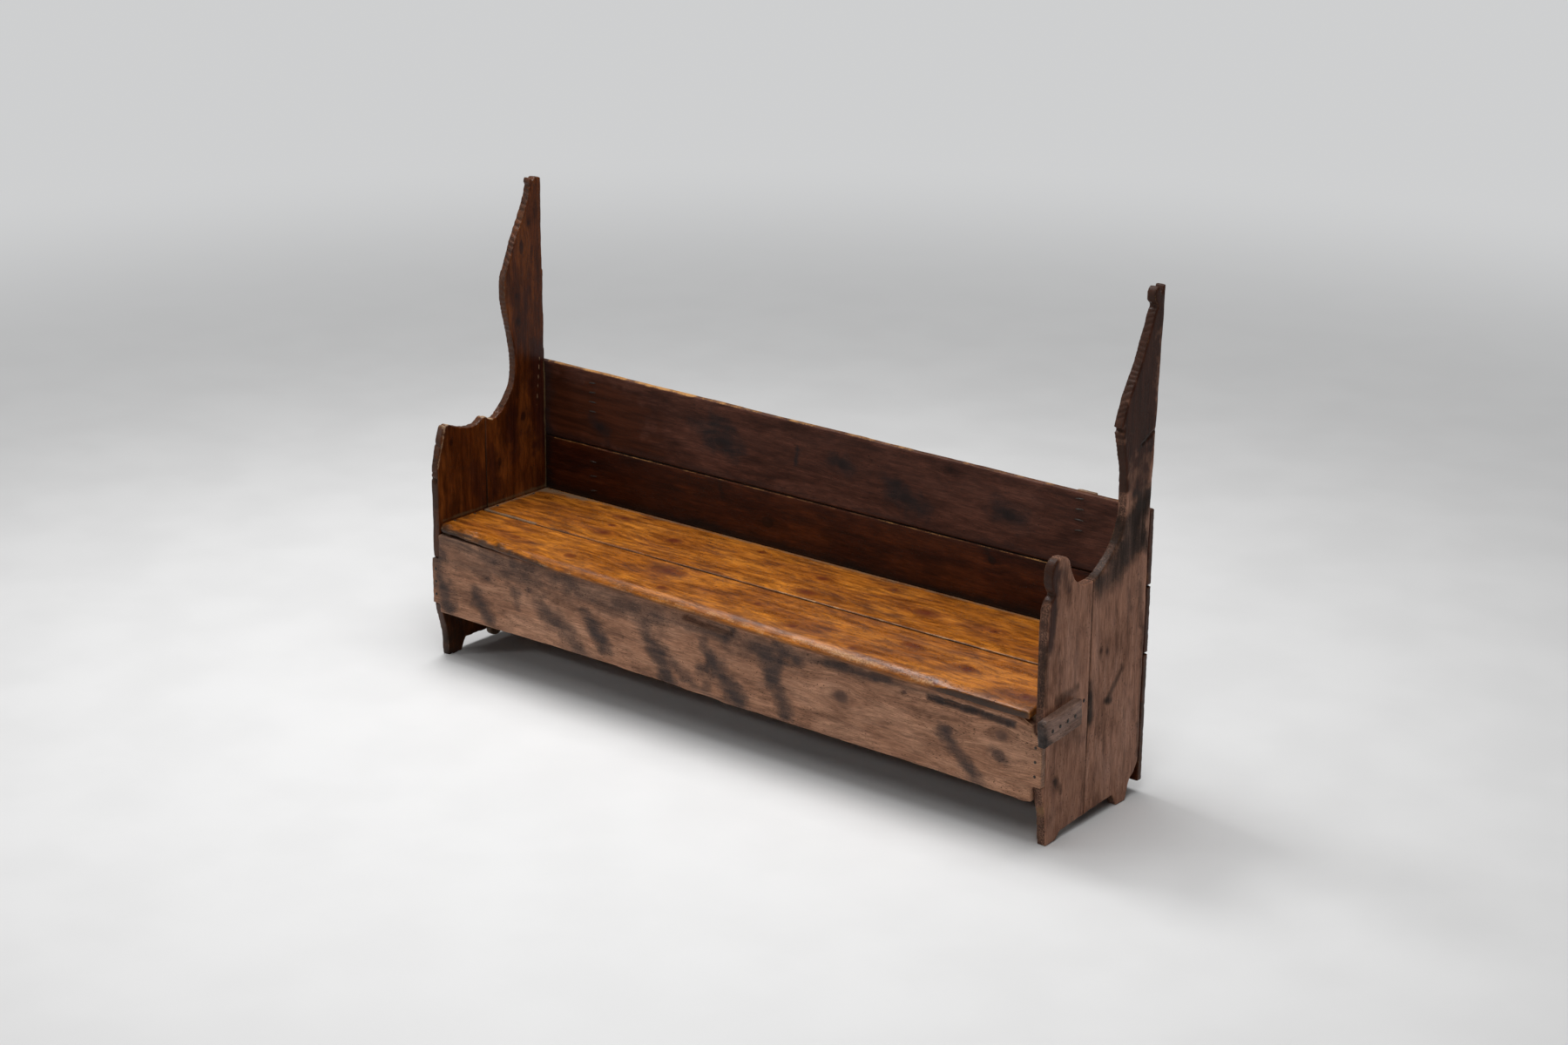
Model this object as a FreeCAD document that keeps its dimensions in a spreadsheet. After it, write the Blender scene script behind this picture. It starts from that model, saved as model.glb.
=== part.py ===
import FreeCAD, Part
import math
import os
import Sketcher

# An old plank settle of pine: two board ends with horns, a front apron, a two board seat and
# a back of three boards. Millimetres, +Z up. The frame's origin is on the floor, under the
# middle of the whole bench: X along the bench, +Y towards the back.
# Sizes are measured from the left end's outer face, the ends' front edge and the floor.
SIZES = {
    # Whole bench
    "bench_length": 2200,
    "end_thick": 28,
    "end_depth": 476,
    "joint_depth": 210,
    # Feet and the low arch between them
    "toe_setback": 29,
    "toe_bulge": 6.8,
    "left_toe_width": 55,
    "right_toe_width": 43,
    "left_arch_y": 106,
    "left_arch_z": 38,
    "right_arch_y": 98,
    "right_arch_z": 19,
    "arch_rear_z": 37,
    "arch_ramp": 20,
    "heel_width": 46,
    "heel_inset": 59,
    "heel_step": 11,
    "heel_step_z": 40,
    "heel_chip_z": 96,
    # Arm hollow and horn of the left end
    "left_arm_low_y": 173,
    "left_arm_low_z": 685,
    "left_hollow_depth": 344,
    "left_waist_y": 307,
    "left_waist_z": 1056,
    "left_waist_top_y": 306,
    "left_waist_top_z": 1100,
    "left_rake": -11,
    "left_tip_z": 1407,
    # Arm hollow and horn of the right end, with its small knob
    "right_arm_low_y": 180,
    "right_arm_low_z": 689,
    "right_hollow_depth": 352,
    "right_waist_y": 320,
    "right_waist_z": 1060,
    "right_waist_top_y": 318,
    "right_waist_top_z": 1079,
    "right_rake": 24,
    "right_tip_z": 1424,
    "rake_rise": 6,
    "tip_width": 22,
    "tip_notch_width": 8,
    "tip_notch_drop": 13,
    "knob_setback": 15,
    "knob_drop": 3,
    "knob_height": 54,
    "knob_slant": 6,
    "knob_bulge": 7.5,
    # Round head on the right end's front board
    "finial_y": 57,
    "finial_z": 749,
    "finial_radius": 45,
    "neck_inset": 29,
    "neck_drop": 54,
    "neck_bulge": 5.5,
    "shoulder_drop": 39,
    "shoulder_bulge": 7.5,
    # Broken top of the left end's front board
    "break_edge_z": 603,
    "break_bulge": 6.5,
    "break_lip_y": 42,
    "break_lip_z": 720,
    "break_top_y": 58,
    "break_top_z": 726,
    "break_dip_y": 140,
    "break_dip_z": 698,
    "break_flat": 33,
    "splinter_z": 717,
    # Front apron
    "apron_thick": 22,
    "apron_proud": 8,
    "apron_gap": 7,
    "apron_left_bottom": 149,
    "apron_mid_bottom": 145,
    "apron_right_bottom": 131,
    "tongue_low": 175,
    "tongue_drop": 85,
    "tongue_clear": 0.5,
    "filler_height": 26,
    "filler_tip": 3,
    # Seat
    "seat_height": 428,
    "seat_thick": 25,
    "seat_joint": 187,
    "seat_gap": 5,
    "seat_droop": 38,
    "seat_end_gap": 0.8,
    "seat_rest": 0.2,
    "flat_margin": 18,
    "nosing": 25,
    "nosing_round": 9,
    "seat_break_length": 480,
    "seat_break_depth": 38,
    # Back
    "back_thick": 22,
    "back_left_rise": 408,
    "back_right_rise": 386,
    "back_joint_rise": 170,
    "back_low_joint_drop": 23,
    "back_bottom": 34,
    "back_gap": 1.5,
    # Bearers, ledger and battens
    "bearer_thick": 30,
    "bearer_height": 60,
    "ledger_thick": 30,
    "ledger_height": 60,
    "batten_thick": 22,
    "batten_width": 54,
    "batten_offset": 6,
    "batten_bottom": 17,
    "batten_round": 15.8,
    "back_batten_x": 222,
    "back_batten_width": 62,
    "back_batten_thick": 22,
    "back_batten_foot": 25,
    "back_batten_head": 2,
    # Outer cleats
    "cleat_thick": 25,
    "cleat_height": 73,
    "cleat_length": 176,
    "right_cleat_y": -29,
    "right_cleat_drop": 128,
    "right_cleat_tilt": 5,
    "left_cleat_y": 136,
    "left_cleat_rise": 3,
    "left_cleat_tilt": -9,
    # Forged nails
    "shank_width": 4,
    "head_width": 9,
    "head_height": 2.5,
    "nail_bite": 18,
    "long_bite": 28,
    "tip_out": 1.5,
    "apron_nail_inset": 18,
    "apron_nail_margin": 31,
    "cleat_nail_y": 36,
    "cleat_nail_z": 38,
    "cleat_nail_pitch": 35,
    "left_cleat_nail_y": 50,
    "left_cleat_nail_pitch": 22,
    "stray_nail_y": 186,
    "stray_nail_z": 363,
    "bearer_nail_y": 145,
    "bearer_nail_z": 18,
    "bearer_nail_end": 51,
    "batten_nail_low": 68,
    "batten_nail_high": 48,
    "batten_nail_spread": 30,
    "back_nail_low": 96,
    "back_nail_high": 59,
    "back_batten_nail_drop": 106,
    "back_batten_nail_pitch": 30,
    "low_batten_nail_margin": 50,
    "ledger_nail_x": 110,
    "ledger_nail_drop": 27,
    "seat_nail_x": 14,
    "front_seat_nail_y": 55,
    "front_seat_nail_pitch": 85,
    "rear_seat_nail_y": 240,
    "rear_seat_nail_end": 46,
}

HEAD_TAPER = -32
SHEET_NAME = "Sizes"

document = FreeCAD.newDocument("monks_bench")


class Size:
    """A length that knows both its number and the expression that gives it."""

    def __init__(self, number, text):
        self.number = float(number)
        self.text = text

    def _join(self, other, mark, number):
        right = other.text if isinstance(other, Size) else repr(other)
        return Size(number, f"({self.text} {mark} {right})")

    def __add__(self, other):
        return self._join(other, "+", self.number + number_of(other))

    def __sub__(self, other):
        return self._join(other, "-", self.number - number_of(other))

    def __mul__(self, other):
        return self._join(other, "*", self.number * number_of(other))

    def __truediv__(self, other):
        return self._join(other, "/", self.number / number_of(other))

    def __neg__(self):
        return Size(-self.number, f"(0 - {self.text})")


def number_of(value):
    return value.number if isinstance(value, Size) else float(value)


def root(value):
    return Size(math.sqrt(value.number), f"sqrt({value.text})")


def angle_of_slope(rise, run):
    slope = rise / run
    return Size(math.degrees(math.atan(slope.number)), f"atan({slope.text})")


def bowed(begin, end, bulge):
    """Radius of the arc between two corners that bulges so far from its chord."""
    across = end[0] - begin[0]
    up = end[1] - begin[1]
    chord_squared = across * across + up * up
    return (chord_squared / 4 + bulge * bulge) / (bulge * 2)


def sine(degrees):
    return Size(math.sin(math.radians(degrees.number)), f"sin({degrees.text} * 1 deg)")


def cosine(degrees):
    return Size(math.cos(math.radians(degrees.number)), f"cos({degrees.text} * 1 deg)")


class SizeSheet:
    """The driving sizes, one spreadsheet cell each, read by name."""

    def __init__(self, sizes):
        sheet = document.addObject("Spreadsheet::Sheet", SHEET_NAME)
        for row, (alias, number) in enumerate(sizes.items(), start=1):
            sheet.set(f"A{row}", alias)
            sheet.set(f"B{row}", str(number))
            sheet.setAlias(f"B{row}", alias)
            setattr(self, alias, Size(number, f"{SHEET_NAME}.{alias}"))


s = SizeSheet(SIZES)
document.recompute()
ZERO = Size(0, "0")


def bind(item, name, value):
    if isinstance(value, Size):
        item.setExpression(name, value.text)
    else:
        setattr(item, name, value)


def place(item, x, y, z, tilt=None):
    """Puts an item at a point of the bench, turned about X by tilt."""
    if tilt is not None:
        turn = FreeCAD.Rotation(FreeCAD.Vector(1, 0, 0), tilt.number)
        item.Placement = FreeCAD.Placement(FreeCAD.Vector(), turn)
        item.setExpression("Placement.Rotation.Angle", f"{tilt.text} * 1 deg")
    middle_x = s.bench_length / 2
    for axis, value in (("x", x - middle_x), ("y", y - middle_y), ("z", z)):
        item.setExpression(f"Placement.Base.{axis}", value.text)


# Places that several pieces share
inner_left = s.end_thick
inner_right = s.bench_length - s.end_thick
inner_length = s.bench_length - s.end_thick * 2
apron_back = s.apron_thick - s.apron_proud
under_seat = s.seat_height - s.seat_thick
seat_left = inner_left + s.seat_end_gap
seat_length = inner_length - s.seat_end_gap * 2
front_board_width = s.seat_joint + s.nosing
bearer_low = under_seat - s.bearer_height
ledger_front = s.end_depth - s.ledger_thick
tongue_high = under_seat - s.tongue_drop
back_left_top = s.seat_height + s.back_left_rise
back_right_top = s.seat_height + s.back_right_rise
back_joint = s.seat_height + s.back_joint_rise
back_low_joint = s.seat_height - s.back_low_joint_drop
flat_length = s.bearer_thick + s.flat_margin
twist_start = seat_left + flat_length
twist_end = seat_left + seat_length - flat_length
left_cleat_z = s.seat_height + s.left_cleat_rise
right_cleat_z = s.seat_height - s.right_cleat_drop
cleat_reach = s.cleat_height * sine(s.right_cleat_tilt) - s.right_cleat_y
whole_depth = s.end_depth + s.back_thick + s.back_batten_thick
middle_y = (whole_depth - cleat_reach) / 2


def sunk(y):
    """How far the front board's right end lies below level at a depth."""
    return s.seat_droop * (s.seat_joint - y) / front_board_width


class Outline:
    """A closed sketch of lines and arcs whose corners are bound to the sheet."""

    def __init__(self, body, role, name, lift=None):
        self.sketch = body.newObject("Sketcher::SketchObject", name)
        plane = next(item for item in body.Origin.OriginFeatures if item.Role == role)
        self.sketch.AttachmentSupport = (plane, [""])
        self.sketch.MapMode = "FlatFace"
        if lift is not None:
            self.sketch.setExpression("AttachmentOffset.Base.z", lift.text)
        self.corners = []

    def start(self, x, y):
        self.corners.append((x, y, None, False))
        return self

    def line(self, x, y):
        return self.start(x, y)

    def arc(self, x, y, radius, left):
        """Goes to a corner on an arc whose centre lies left or right of the way there."""
        self.corners.append((x, y, radius, left))
        return self

    def bow(self, x, y, bulge, left):
        """Goes to a corner on an arc given by how far it bulges."""
        return self.arc(x, y, bowed(self.corners[-1], (x, y), bulge), left)

    def _edge(self, begin, end, radius, left):
        first = FreeCAD.Vector(begin[0].number, begin[1].number, 0)
        last = FreeCAD.Vector(end[0].number, end[1].number, 0)
        if radius is None:
            return Part.LineSegment(first, last), 1, 2
        chord = last - first
        half = chord.Length / 2
        reach = math.sqrt(max(radius.number ** 2 - half ** 2, 0.0))
        side = FreeCAD.Vector(-chord.y, chord.x, 0).normalize()
        centre = first + chord * 0.5 + side * (reach if left else -reach)
        low, high = (first, last) if left else (last, first)
        angles = [math.atan2(point.y - centre.y, point.x - centre.x) for point in (low, high)]
        circle = Part.Circle(centre, FreeCAD.Vector(0, 0, 1), radius.number)
        arc = Part.ArcOfCircle(circle, angles[0], angles[1])
        return (arc, 1, 2) if left else (arc, 2, 1)

    def _fix(self, edge, end, name, axis, value):
        if value.number == 0:
            own_axis = -2 if name == "DistanceX" else -1
            self.sketch.addConstraint(Sketcher.Constraint("PointOnObject", edge, end, own_axis))
            return
        rule = Sketcher.Constraint(name, -1, 1, edge, end, value.number)
        index = self.sketch.addConstraint(rule)
        self.sketch.setExpression(f"Constraints[{index}]", value.text)

    def close(self):
        edges = []
        for index, begin in enumerate(self.corners):
            end = self.corners[(index + 1) % len(self.corners)]
            shape, first, last = self._edge(begin, end, end[2], end[3])
            edges.append((self.sketch.addGeometry(shape), first, last, begin, end[2]))
        for index, (edge, first, last, begin, radius) in enumerate(edges):
            after = edges[(index + 1) % len(edges)]
            joint = Sketcher.Constraint("Coincident", edge, last, after[0], after[1])
            self.sketch.addConstraint(joint)
            self._fix(edge, first, "DistanceX", 0, begin[0])
            self._fix(edge, first, "DistanceY", 1, begin[1])
            if radius is not None:
                rule = Sketcher.Constraint("Radius", edge, radius.number)
                number = self.sketch.addConstraint(rule)
                self.sketch.setExpression(f"Constraints[{number}]", radius.text)
        return self.sketch

    def close_bowed(self, bulge, left):
        """Closes the outline with an arc back to its start."""
        x, y = self.corners[0][:2]
        self.corners[0] = (x, y, bowed(self.corners[-1], (x, y), bulge), left)
        return self.close()

    def box(self, x, y, width, height):
        self.start(x, y).line(x + width, y)
        self.line(x + width, y + height).line(x, y + height)
        return self.close()


def new_body(label):
    body = document.addObject("PartDesign::Body", label)
    body.Label = label
    return body


def pad(body, sketch, length, backwards=False, taper=0):
    """Pads a sketch; backwards is against the sketch's own normal."""
    feature = body.newObject("PartDesign::Pad", "Pad")
    feature.Profile = sketch
    bind(feature, "Length", length)
    feature.Reversed = backwards
    feature.TaperAngle = taper
    return feature


# Planes of a body: YZ looks along +X, XZ looks along -Y and XY looks up.
YZ = "YZ_Plane"
XZ = "XZ_Plane"
XY = "XY_Plane"


heel_rear = s.end_depth - s.heel_inset
heel_front = heel_rear - s.heel_width
arch_rear = heel_front - s.arch_ramp


class EndShape:
    """The sizes that differ from one end to the other, as each was cut by hand."""

    NAMES = ("toe_width", "arch_y", "arch_z", "arm_low_y", "arm_low_z", "hollow_depth",
             "waist_y", "waist_z", "waist_top_y", "waist_top_z", "rake", "tip_z")

    def __init__(self, side):
        for name in self.NAMES:
            setattr(self, name, getattr(s, f"{side}_{name}"))
        self.hollow_radius = self.hollow_depth - self.arm_low_y
        self.hollow_top = self.arm_low_z + self.hollow_radius
        self.tip_rear = s.end_depth + self.rake
        self.tip_front = self.tip_rear - s.tip_width
        rise = s.arch_rear_z - self.arch_z
        share = (s.joint_depth - self.arch_y) / (arch_rear - self.arch_y)
        self.arch_at_joint = self.arch_z + rise * share
        away = s.joint_depth - self.arm_low_y
        drop = root(self.hollow_radius * self.hollow_radius - away * away)
        self.hollow_at_joint = self.hollow_top - drop
        lean = self.hollow_depth - self.waist_y
        climb = self.waist_z - self.hollow_top
        self.waist_radius = (climb * climb + lean * lean) / (lean * 2)


def front_foot(outline, end):
    """The lower edge of a front board, from its toe to the board joint."""
    outline.start(s.toe_setback, ZERO)
    outline.line(s.toe_setback + end.toe_width, ZERO)
    outline.line(end.arch_y, end.arch_z)
    outline.line(s.joint_depth, end.arch_at_joint)


def front_edge_down(outline):
    """The front edge with the apron's notch, down to the worn toe."""
    outline.line(ZERO, tongue_high + s.tongue_clear)
    outline.line(apron_back, tongue_high + s.tongue_clear)
    outline.line(apron_back, s.tongue_low)
    outline.line(ZERO, s.tongue_low)
    return outline.close_bowed(s.toe_bulge, False)


def left_front_board(end):
    body = new_body("left_front_board_blank")
    outline = Outline(body, YZ, "BrokenBoard")
    front_foot(outline, end)
    outline.line(s.joint_depth, s.splinter_z)
    outline.line(s.break_dip_y + s.break_flat, s.break_dip_z)
    outline.line(s.break_dip_y, s.break_dip_z)
    outline.line(s.break_top_y, s.break_top_z)
    outline.line(s.break_lip_y, s.break_lip_z)
    outline.bow(ZERO, s.break_edge_z, s.break_bulge, True)
    pad(body, front_edge_down(outline), s.end_thick)
    place(body, ZERO, ZERO, ZERO)
    return body


def right_front_board(end):
    """The front board with its round head, whose circle meets the arm hollow's smoothly."""
    body = new_body("right_front_board_blank")
    reach = end.arm_low_y - s.finial_y
    rise = s.finial_z - end.arm_low_z
    head = s.finial_radius
    hollow = (reach * reach + rise * rise - head * head) / ((head + rise) * 2)
    share = head / (head + hollow)
    meet_y = s.finial_y + reach * share
    meet_z = s.finial_z + (hollow - rise) * share
    outline = Outline(body, YZ, "RoundHeadBoard")
    front_foot(outline, end)
    outline.line(s.joint_depth, end.hollow_at_joint)
    outline.arc(end.arm_low_y, end.arm_low_z, end.hollow_radius, False)
    outline.arc(meet_y, meet_z, hollow, False)
    outline.arc(s.finial_y, s.finial_z + head, head, True)
    outline.arc(s.finial_y - head, s.finial_z, head, True)
    neck_z = s.finial_z - s.neck_drop
    outline.bow(s.finial_y - s.neck_inset, neck_z, s.neck_bulge, True)
    outline.bow(ZERO, neck_z - s.shoulder_drop, s.shoulder_bulge, True)
    pad(body, front_edge_down(outline), s.end_thick)
    place(body, inner_right, ZERO, ZERO)
    return body


def rear_board(label, end, x, top):
    """A rear board with its horn; top adds the horn's own upper end to the outline."""
    body = new_body(label)
    outline = Outline(body, YZ, "HornBoard")
    outline.start(s.joint_depth, end.arch_at_joint)
    outline.line(arch_rear, s.arch_rear_z)
    outline.line(heel_front, ZERO)
    outline.line(heel_rear, ZERO)
    outline.line(heel_rear + s.heel_step, s.heel_step_z)
    outline.line(s.end_depth, s.heel_chip_z)
    outline.line(s.end_depth, back_right_top + s.rake_rise)
    outline.line(end.tip_rear, end.tip_z)
    outline.line(end.tip_front, end.tip_z)
    top(outline, end)
    outline.line(end.waist_top_y, end.waist_top_z)
    outline.line(end.waist_y, end.waist_z)
    outline.arc(end.hollow_depth, end.hollow_top, end.waist_radius, False)
    outline.arc(s.joint_depth, end.hollow_at_joint, end.hollow_radius, False)
    pad(body, outline.close(), s.end_thick)
    place(body, x, ZERO, ZERO)
    return body


def plain_tip(outline, end):
    """The left horn ends in a plain tip, with nothing more to draw."""


def knob_tip(outline, end):
    """The right horn keeps its small knob, with a notch between knob and tip."""
    knob_y = end.tip_front - s.knob_setback
    knob_z = end.tip_z - s.knob_drop
    outline.line(end.tip_front - s.tip_notch_width, end.tip_z - s.tip_notch_drop)
    outline.line(knob_y, knob_z)
    outline.bow(knob_y - s.knob_slant, knob_z - s.knob_height, s.knob_bulge, True)


def apron_and_filler():
    """The apron, its lapped tongues, and the wedge let into its right top corner.

    Its top is level under the seat's raised left part, and follows the seat's underside from
    the knee on.
    """
    deepest = sunk(-s.apron_proud)
    level_top = under_seat - s.apron_gap
    knee_x = twist_start + (twist_end - twist_start) * (s.apron_gap - s.seat_rest) / deepest
    end_top = under_seat - s.seat_rest - deepest
    body = new_body("front_apron_blank")
    outline = Outline(body, XZ, "ApronFace")
    outline.start(ZERO, s.tongue_low)
    outline.line(inner_left, s.tongue_low)
    outline.line(inner_left, s.apron_left_bottom)
    outline.line(s.bench_length / 2, s.apron_mid_bottom)
    outline.line(inner_right, s.apron_right_bottom)
    outline.line(inner_right, s.tongue_low)
    outline.line(s.bench_length, s.tongue_low)
    outline.line(s.bench_length, tongue_high)
    outline.line(inner_right, tongue_high)
    outline.line(inner_right, end_top - s.filler_height)
    outline.line(twist_end, end_top - s.filler_tip)
    outline.line(twist_end, end_top)
    outline.line(knee_x, level_top)
    outline.line(inner_left, level_top)
    outline.line(inner_left, tongue_high)
    outline.line(ZERO, tongue_high)
    pad(body, outline.close(), s.apron_thick)
    place(body, ZERO, apron_back, ZERO)
    filler = new_body("apron_corner_filler")
    wedge = Outline(filler, XZ, "WedgeFace")
    wedge.start(twist_end, end_top - s.filler_tip)
    wedge.line(inner_right, end_top - s.filler_height)
    wedge.line(inner_right, end_top)
    wedge.line(twist_end, end_top)
    pad(filler, wedge.close(), s.apron_thick)
    place(filler, ZERO, apron_back, ZERO)
    return body, filler


def seat_section(body, name, lift, front, droop):
    """The front board's outline at a distance along it, from its front edge to the joint."""
    width = front_board_width - s.seat_gap / 2
    radius = s.nosing_round
    slope = droop / front_board_width
    front_drop = droop - slope * front
    rear_drop = slope * s.seat_gap / 2
    outline = Outline(body, YZ, name, lift)
    outline.start(front, under_seat - front_drop)
    outline.line(width, under_seat - rear_drop)
    outline.line(width, s.seat_height - rear_drop)
    outline.line(front + radius, s.seat_height - front_drop + slope * radius)
    outline.arc(front, s.seat_height - front_drop - radius, radius, True)
    return outline.close()


def seat_front_board():
    """The twisted board: flat on each bearer, its right front corner sunk.

    The front edge is broken away towards the left end.
    """
    body = new_body("seat_front_board_blank")
    break_end = s.seat_break_length
    at_bearer = s.seat_break_depth * (break_end - flat_length) / break_end
    at_break = s.seat_droop * (break_end - flat_length) / (seat_length - flat_length * 2)
    sections = [
        seat_section(body, "LeftEnd", ZERO, s.seat_break_depth, ZERO),
        seat_section(body, "LeftBearer", flat_length, at_bearer, ZERO),
        seat_section(body, "BreakEnd", break_end, ZERO, at_break),
        seat_section(body, "RightBearer", seat_length - flat_length, ZERO, s.seat_droop),
        seat_section(body, "RightEnd", seat_length, ZERO, s.seat_droop),
    ]
    loft = body.newObject("PartDesign::AdditiveLoft", "Twist")
    loft.Profile = sections[0]
    loft.Sections = sections[1:]
    loft.Ruled = True
    place(body, seat_left, -s.nosing, ZERO)
    return body


def seat_rear_board():
    body = new_body("seat_rear_board_blank")
    start = s.seat_joint + s.seat_gap / 2
    depth = s.end_depth - s.seat_end_gap - start
    pad(body, Outline(body, XY, "RearBoard").box(ZERO, ZERO, seat_length, depth), s.seat_thick)
    place(body, seat_left, start, under_seat)
    return body


def back_board(label, low, left_top, right_top):
    body = new_body(label)
    outline = Outline(body, XZ, "BackBoard")
    outline.start(ZERO, low).line(s.bench_length, low)
    outline.line(s.bench_length, right_top).line(ZERO, left_top)
    pad(body, outline.close(), s.back_thick, backwards=True)
    place(body, ZERO, s.end_depth, ZERO)
    return body


def bar(label, x, y, z, depth, height, length, tilt=None):
    """A plain squared piece, padded along X from its section."""
    body = new_body(label)
    pad(body, Outline(body, YZ, "Section").box(ZERO, ZERO, depth, height), length)
    place(body, x, y, z, tilt)
    return body


def sunk_bearer(label, x):
    """The right seat bearer, whose top slopes down under the sunk front board."""
    body = new_body(label)
    outline = Outline(body, YZ, "BearerFace")
    outline.start(apron_back, bearer_low).line(ledger_front, bearer_low)
    outline.line(ledger_front, under_seat).line(s.seat_joint, under_seat)
    outline.line(apron_back, under_seat - sunk(apron_back))
    pad(body, outline.close(), s.bearer_thick)
    place(body, x, ZERO, ZERO)
    return body


def joint_batten(label, x):
    """A batten over an end's board joint, with its lower end rounded."""
    body = new_body(label)
    start = s.joint_depth + s.batten_offset - s.batten_width / 2
    straight_from = s.batten_bottom + s.batten_round
    outline = Outline(body, YZ, "BattenFace")
    outline.start(start, straight_from)
    outline.bow(start + s.batten_width, straight_from, s.batten_round, True)
    outline.line(start + s.batten_width, bearer_low).line(start, bearer_low)
    pad(body, outline.close(), s.batten_thick)
    place(body, x, ZERO, ZERO)
    return body


def back_batten(label, x):
    body = new_body(label)
    foot = back_low_joint + s.back_batten_foot
    height = back_right_top - s.back_batten_head - foot
    face = Outline(body, XZ, "BattenFace").box(ZERO, ZERO, s.back_batten_width, height)
    pad(body, face, s.back_batten_thick, backwards=True)
    place(body, x - s.back_batten_width / 2, s.end_depth + s.back_thick, foot)
    return body


def nail_row(label, role, axis, at, length, count, pitch, flip=False, spread=None, tilt=None):
    """A row of forged nails: square shanks under low pyramid heads.

    The head lies along the plane's normal, or against it with flip. A spread gives a second
    column of nails beside the first.
    """
    body = new_body(label)
    body.AllowCompound = True
    features = []
    for name, width, reach, backwards, taper in (
        ("Shank", s.shank_width, length, not flip, 0),
        ("Head", s.head_width, s.head_height, flip, HEAD_TAPER),
    ):
        columns = [ZERO] if spread is None else [ZERO, spread]
        for column in columns:
            face = Outline(body, role, name)
            sketch = face.box(column - width / 2, -(width / 2), width, width)
            features.append(pad(body, sketch, reach, backwards, taper))
    if count > 1:
        row = body.newObject("PartDesign::LinearPattern", "Row")
        row.Originals = features
        row.Direction = (features[0].Profile[0], [axis])
        bind(row, "Length", pitch * (count - 1))
        row.Occurrences = count
        body.Tip = row
    place(body, *at, tilt)
    return body


ALONG = "H_Axis"
UP = "V_Axis"


def group(label, rows):
    """Nails of one kind in one named group of separate solids."""
    nails = document.addObject("Part::Compound", label)
    nails.Label = label
    nails.Links = rows
    return nails


def driven(board, label, nails):
    """The board with the holes that its nails fill."""
    tool = nails[0]
    if len(nails) > 1:
        tool = group(label + "_holes", nails)
    cut = document.addObject("Part::Cut", label)
    cut.Label = label
    cut.Base = board
    cut.Tool = tool
    return cut


def apron_nails(label, x):
    at = (x, -s.apron_proud, s.tongue_low + s.apron_nail_margin)
    pitch = (tongue_high - s.tongue_low) / 2 - s.apron_nail_margin
    return nail_row(label, XZ, UP, at, s.apron_thick + s.long_bite, 3, pitch)


def back_nails(label, x):
    lowest = s.back_bottom + s.back_nail_low
    pitch = (back_right_top - s.back_nail_high - lowest) / 5
    at = (x, s.end_depth + s.back_thick, lowest)
    return nail_row(label, XZ, UP, at, s.back_thick + s.long_bite, 6, pitch, flip=True)


def back_batten_nails(label, x):
    """Nails driven from the front of the back into a rear batten."""
    length = s.back_thick + s.nail_bite
    high = (x, s.end_depth, back_right_top - s.back_batten_nail_drop)
    low = (x, s.end_depth, back_low_joint + s.low_batten_nail_margin)
    low_pitch = (back_joint - back_low_joint) / 2 - s.low_batten_nail_margin
    rows = [
        nail_row(label + "_high", XZ, UP, high, length, 4, s.back_batten_nail_pitch),
        nail_row(label + "_low", XZ, UP, low, length, 3, low_pitch),
    ]
    return group(label, rows)


def bearer_nails(label, x, flip):
    at = (x, s.bearer_nail_y, bearer_low + s.bearer_nail_z)
    length = s.bearer_thick + s.nail_bite
    pitch = (ledger_front - s.bearer_nail_end - s.bearer_nail_y) / 2
    return nail_row(label, YZ, ALONG, at, length, 3, pitch, flip=flip)


def joint_batten_nails(label, x, flip):
    column = s.joint_depth + s.batten_offset - s.batten_nail_spread / 2
    length = s.batten_thick + s.nail_bite
    lowest = s.batten_bottom + s.batten_nail_low
    pitch = (bearer_low - s.batten_nail_high - lowest) / 2
    return nail_row(label, YZ, UP, (x, column, lowest), length, 3, pitch,
                    flip=flip, spread=s.batten_nail_spread)


def seat_nails(label, x, droop):
    """Two nails through each seat board into the bearer below, square to the board."""
    start = s.front_seat_nail_y
    slope = droop / front_board_width
    tilt = angle_of_slope(droop, front_board_width)
    length = s.seat_thick + s.nail_bite
    front = (x, start, s.seat_height - slope * (s.seat_joint - start))
    rear = (x, s.rear_seat_nail_y, s.seat_height)
    rear_pitch = ledger_front - s.rear_seat_nail_end - s.rear_seat_nail_y
    rows = [
        nail_row(label + "_front", XY, UP, front, length, 2, s.front_seat_nail_pitch, tilt=tilt),
        nail_row(label + "_rear", XY, UP, rear, length, 2, rear_pitch),
    ]
    return group(label, rows)


def cleat_nails(label, x, y, z, tilt, length, start, count, pitch, flip):
    """Nails in a row along a tilted cleat, from the cleat's outer face."""
    up = s.cleat_nail_z
    row_y = y + start * cosine(tilt) - up * sine(tilt)
    row_z = z + start * sine(tilt) + up * cosine(tilt)
    return nail_row(label, YZ, ALONG, (x, row_y, row_z), length, count, pitch,
                    flip=flip, tilt=tilt)


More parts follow.
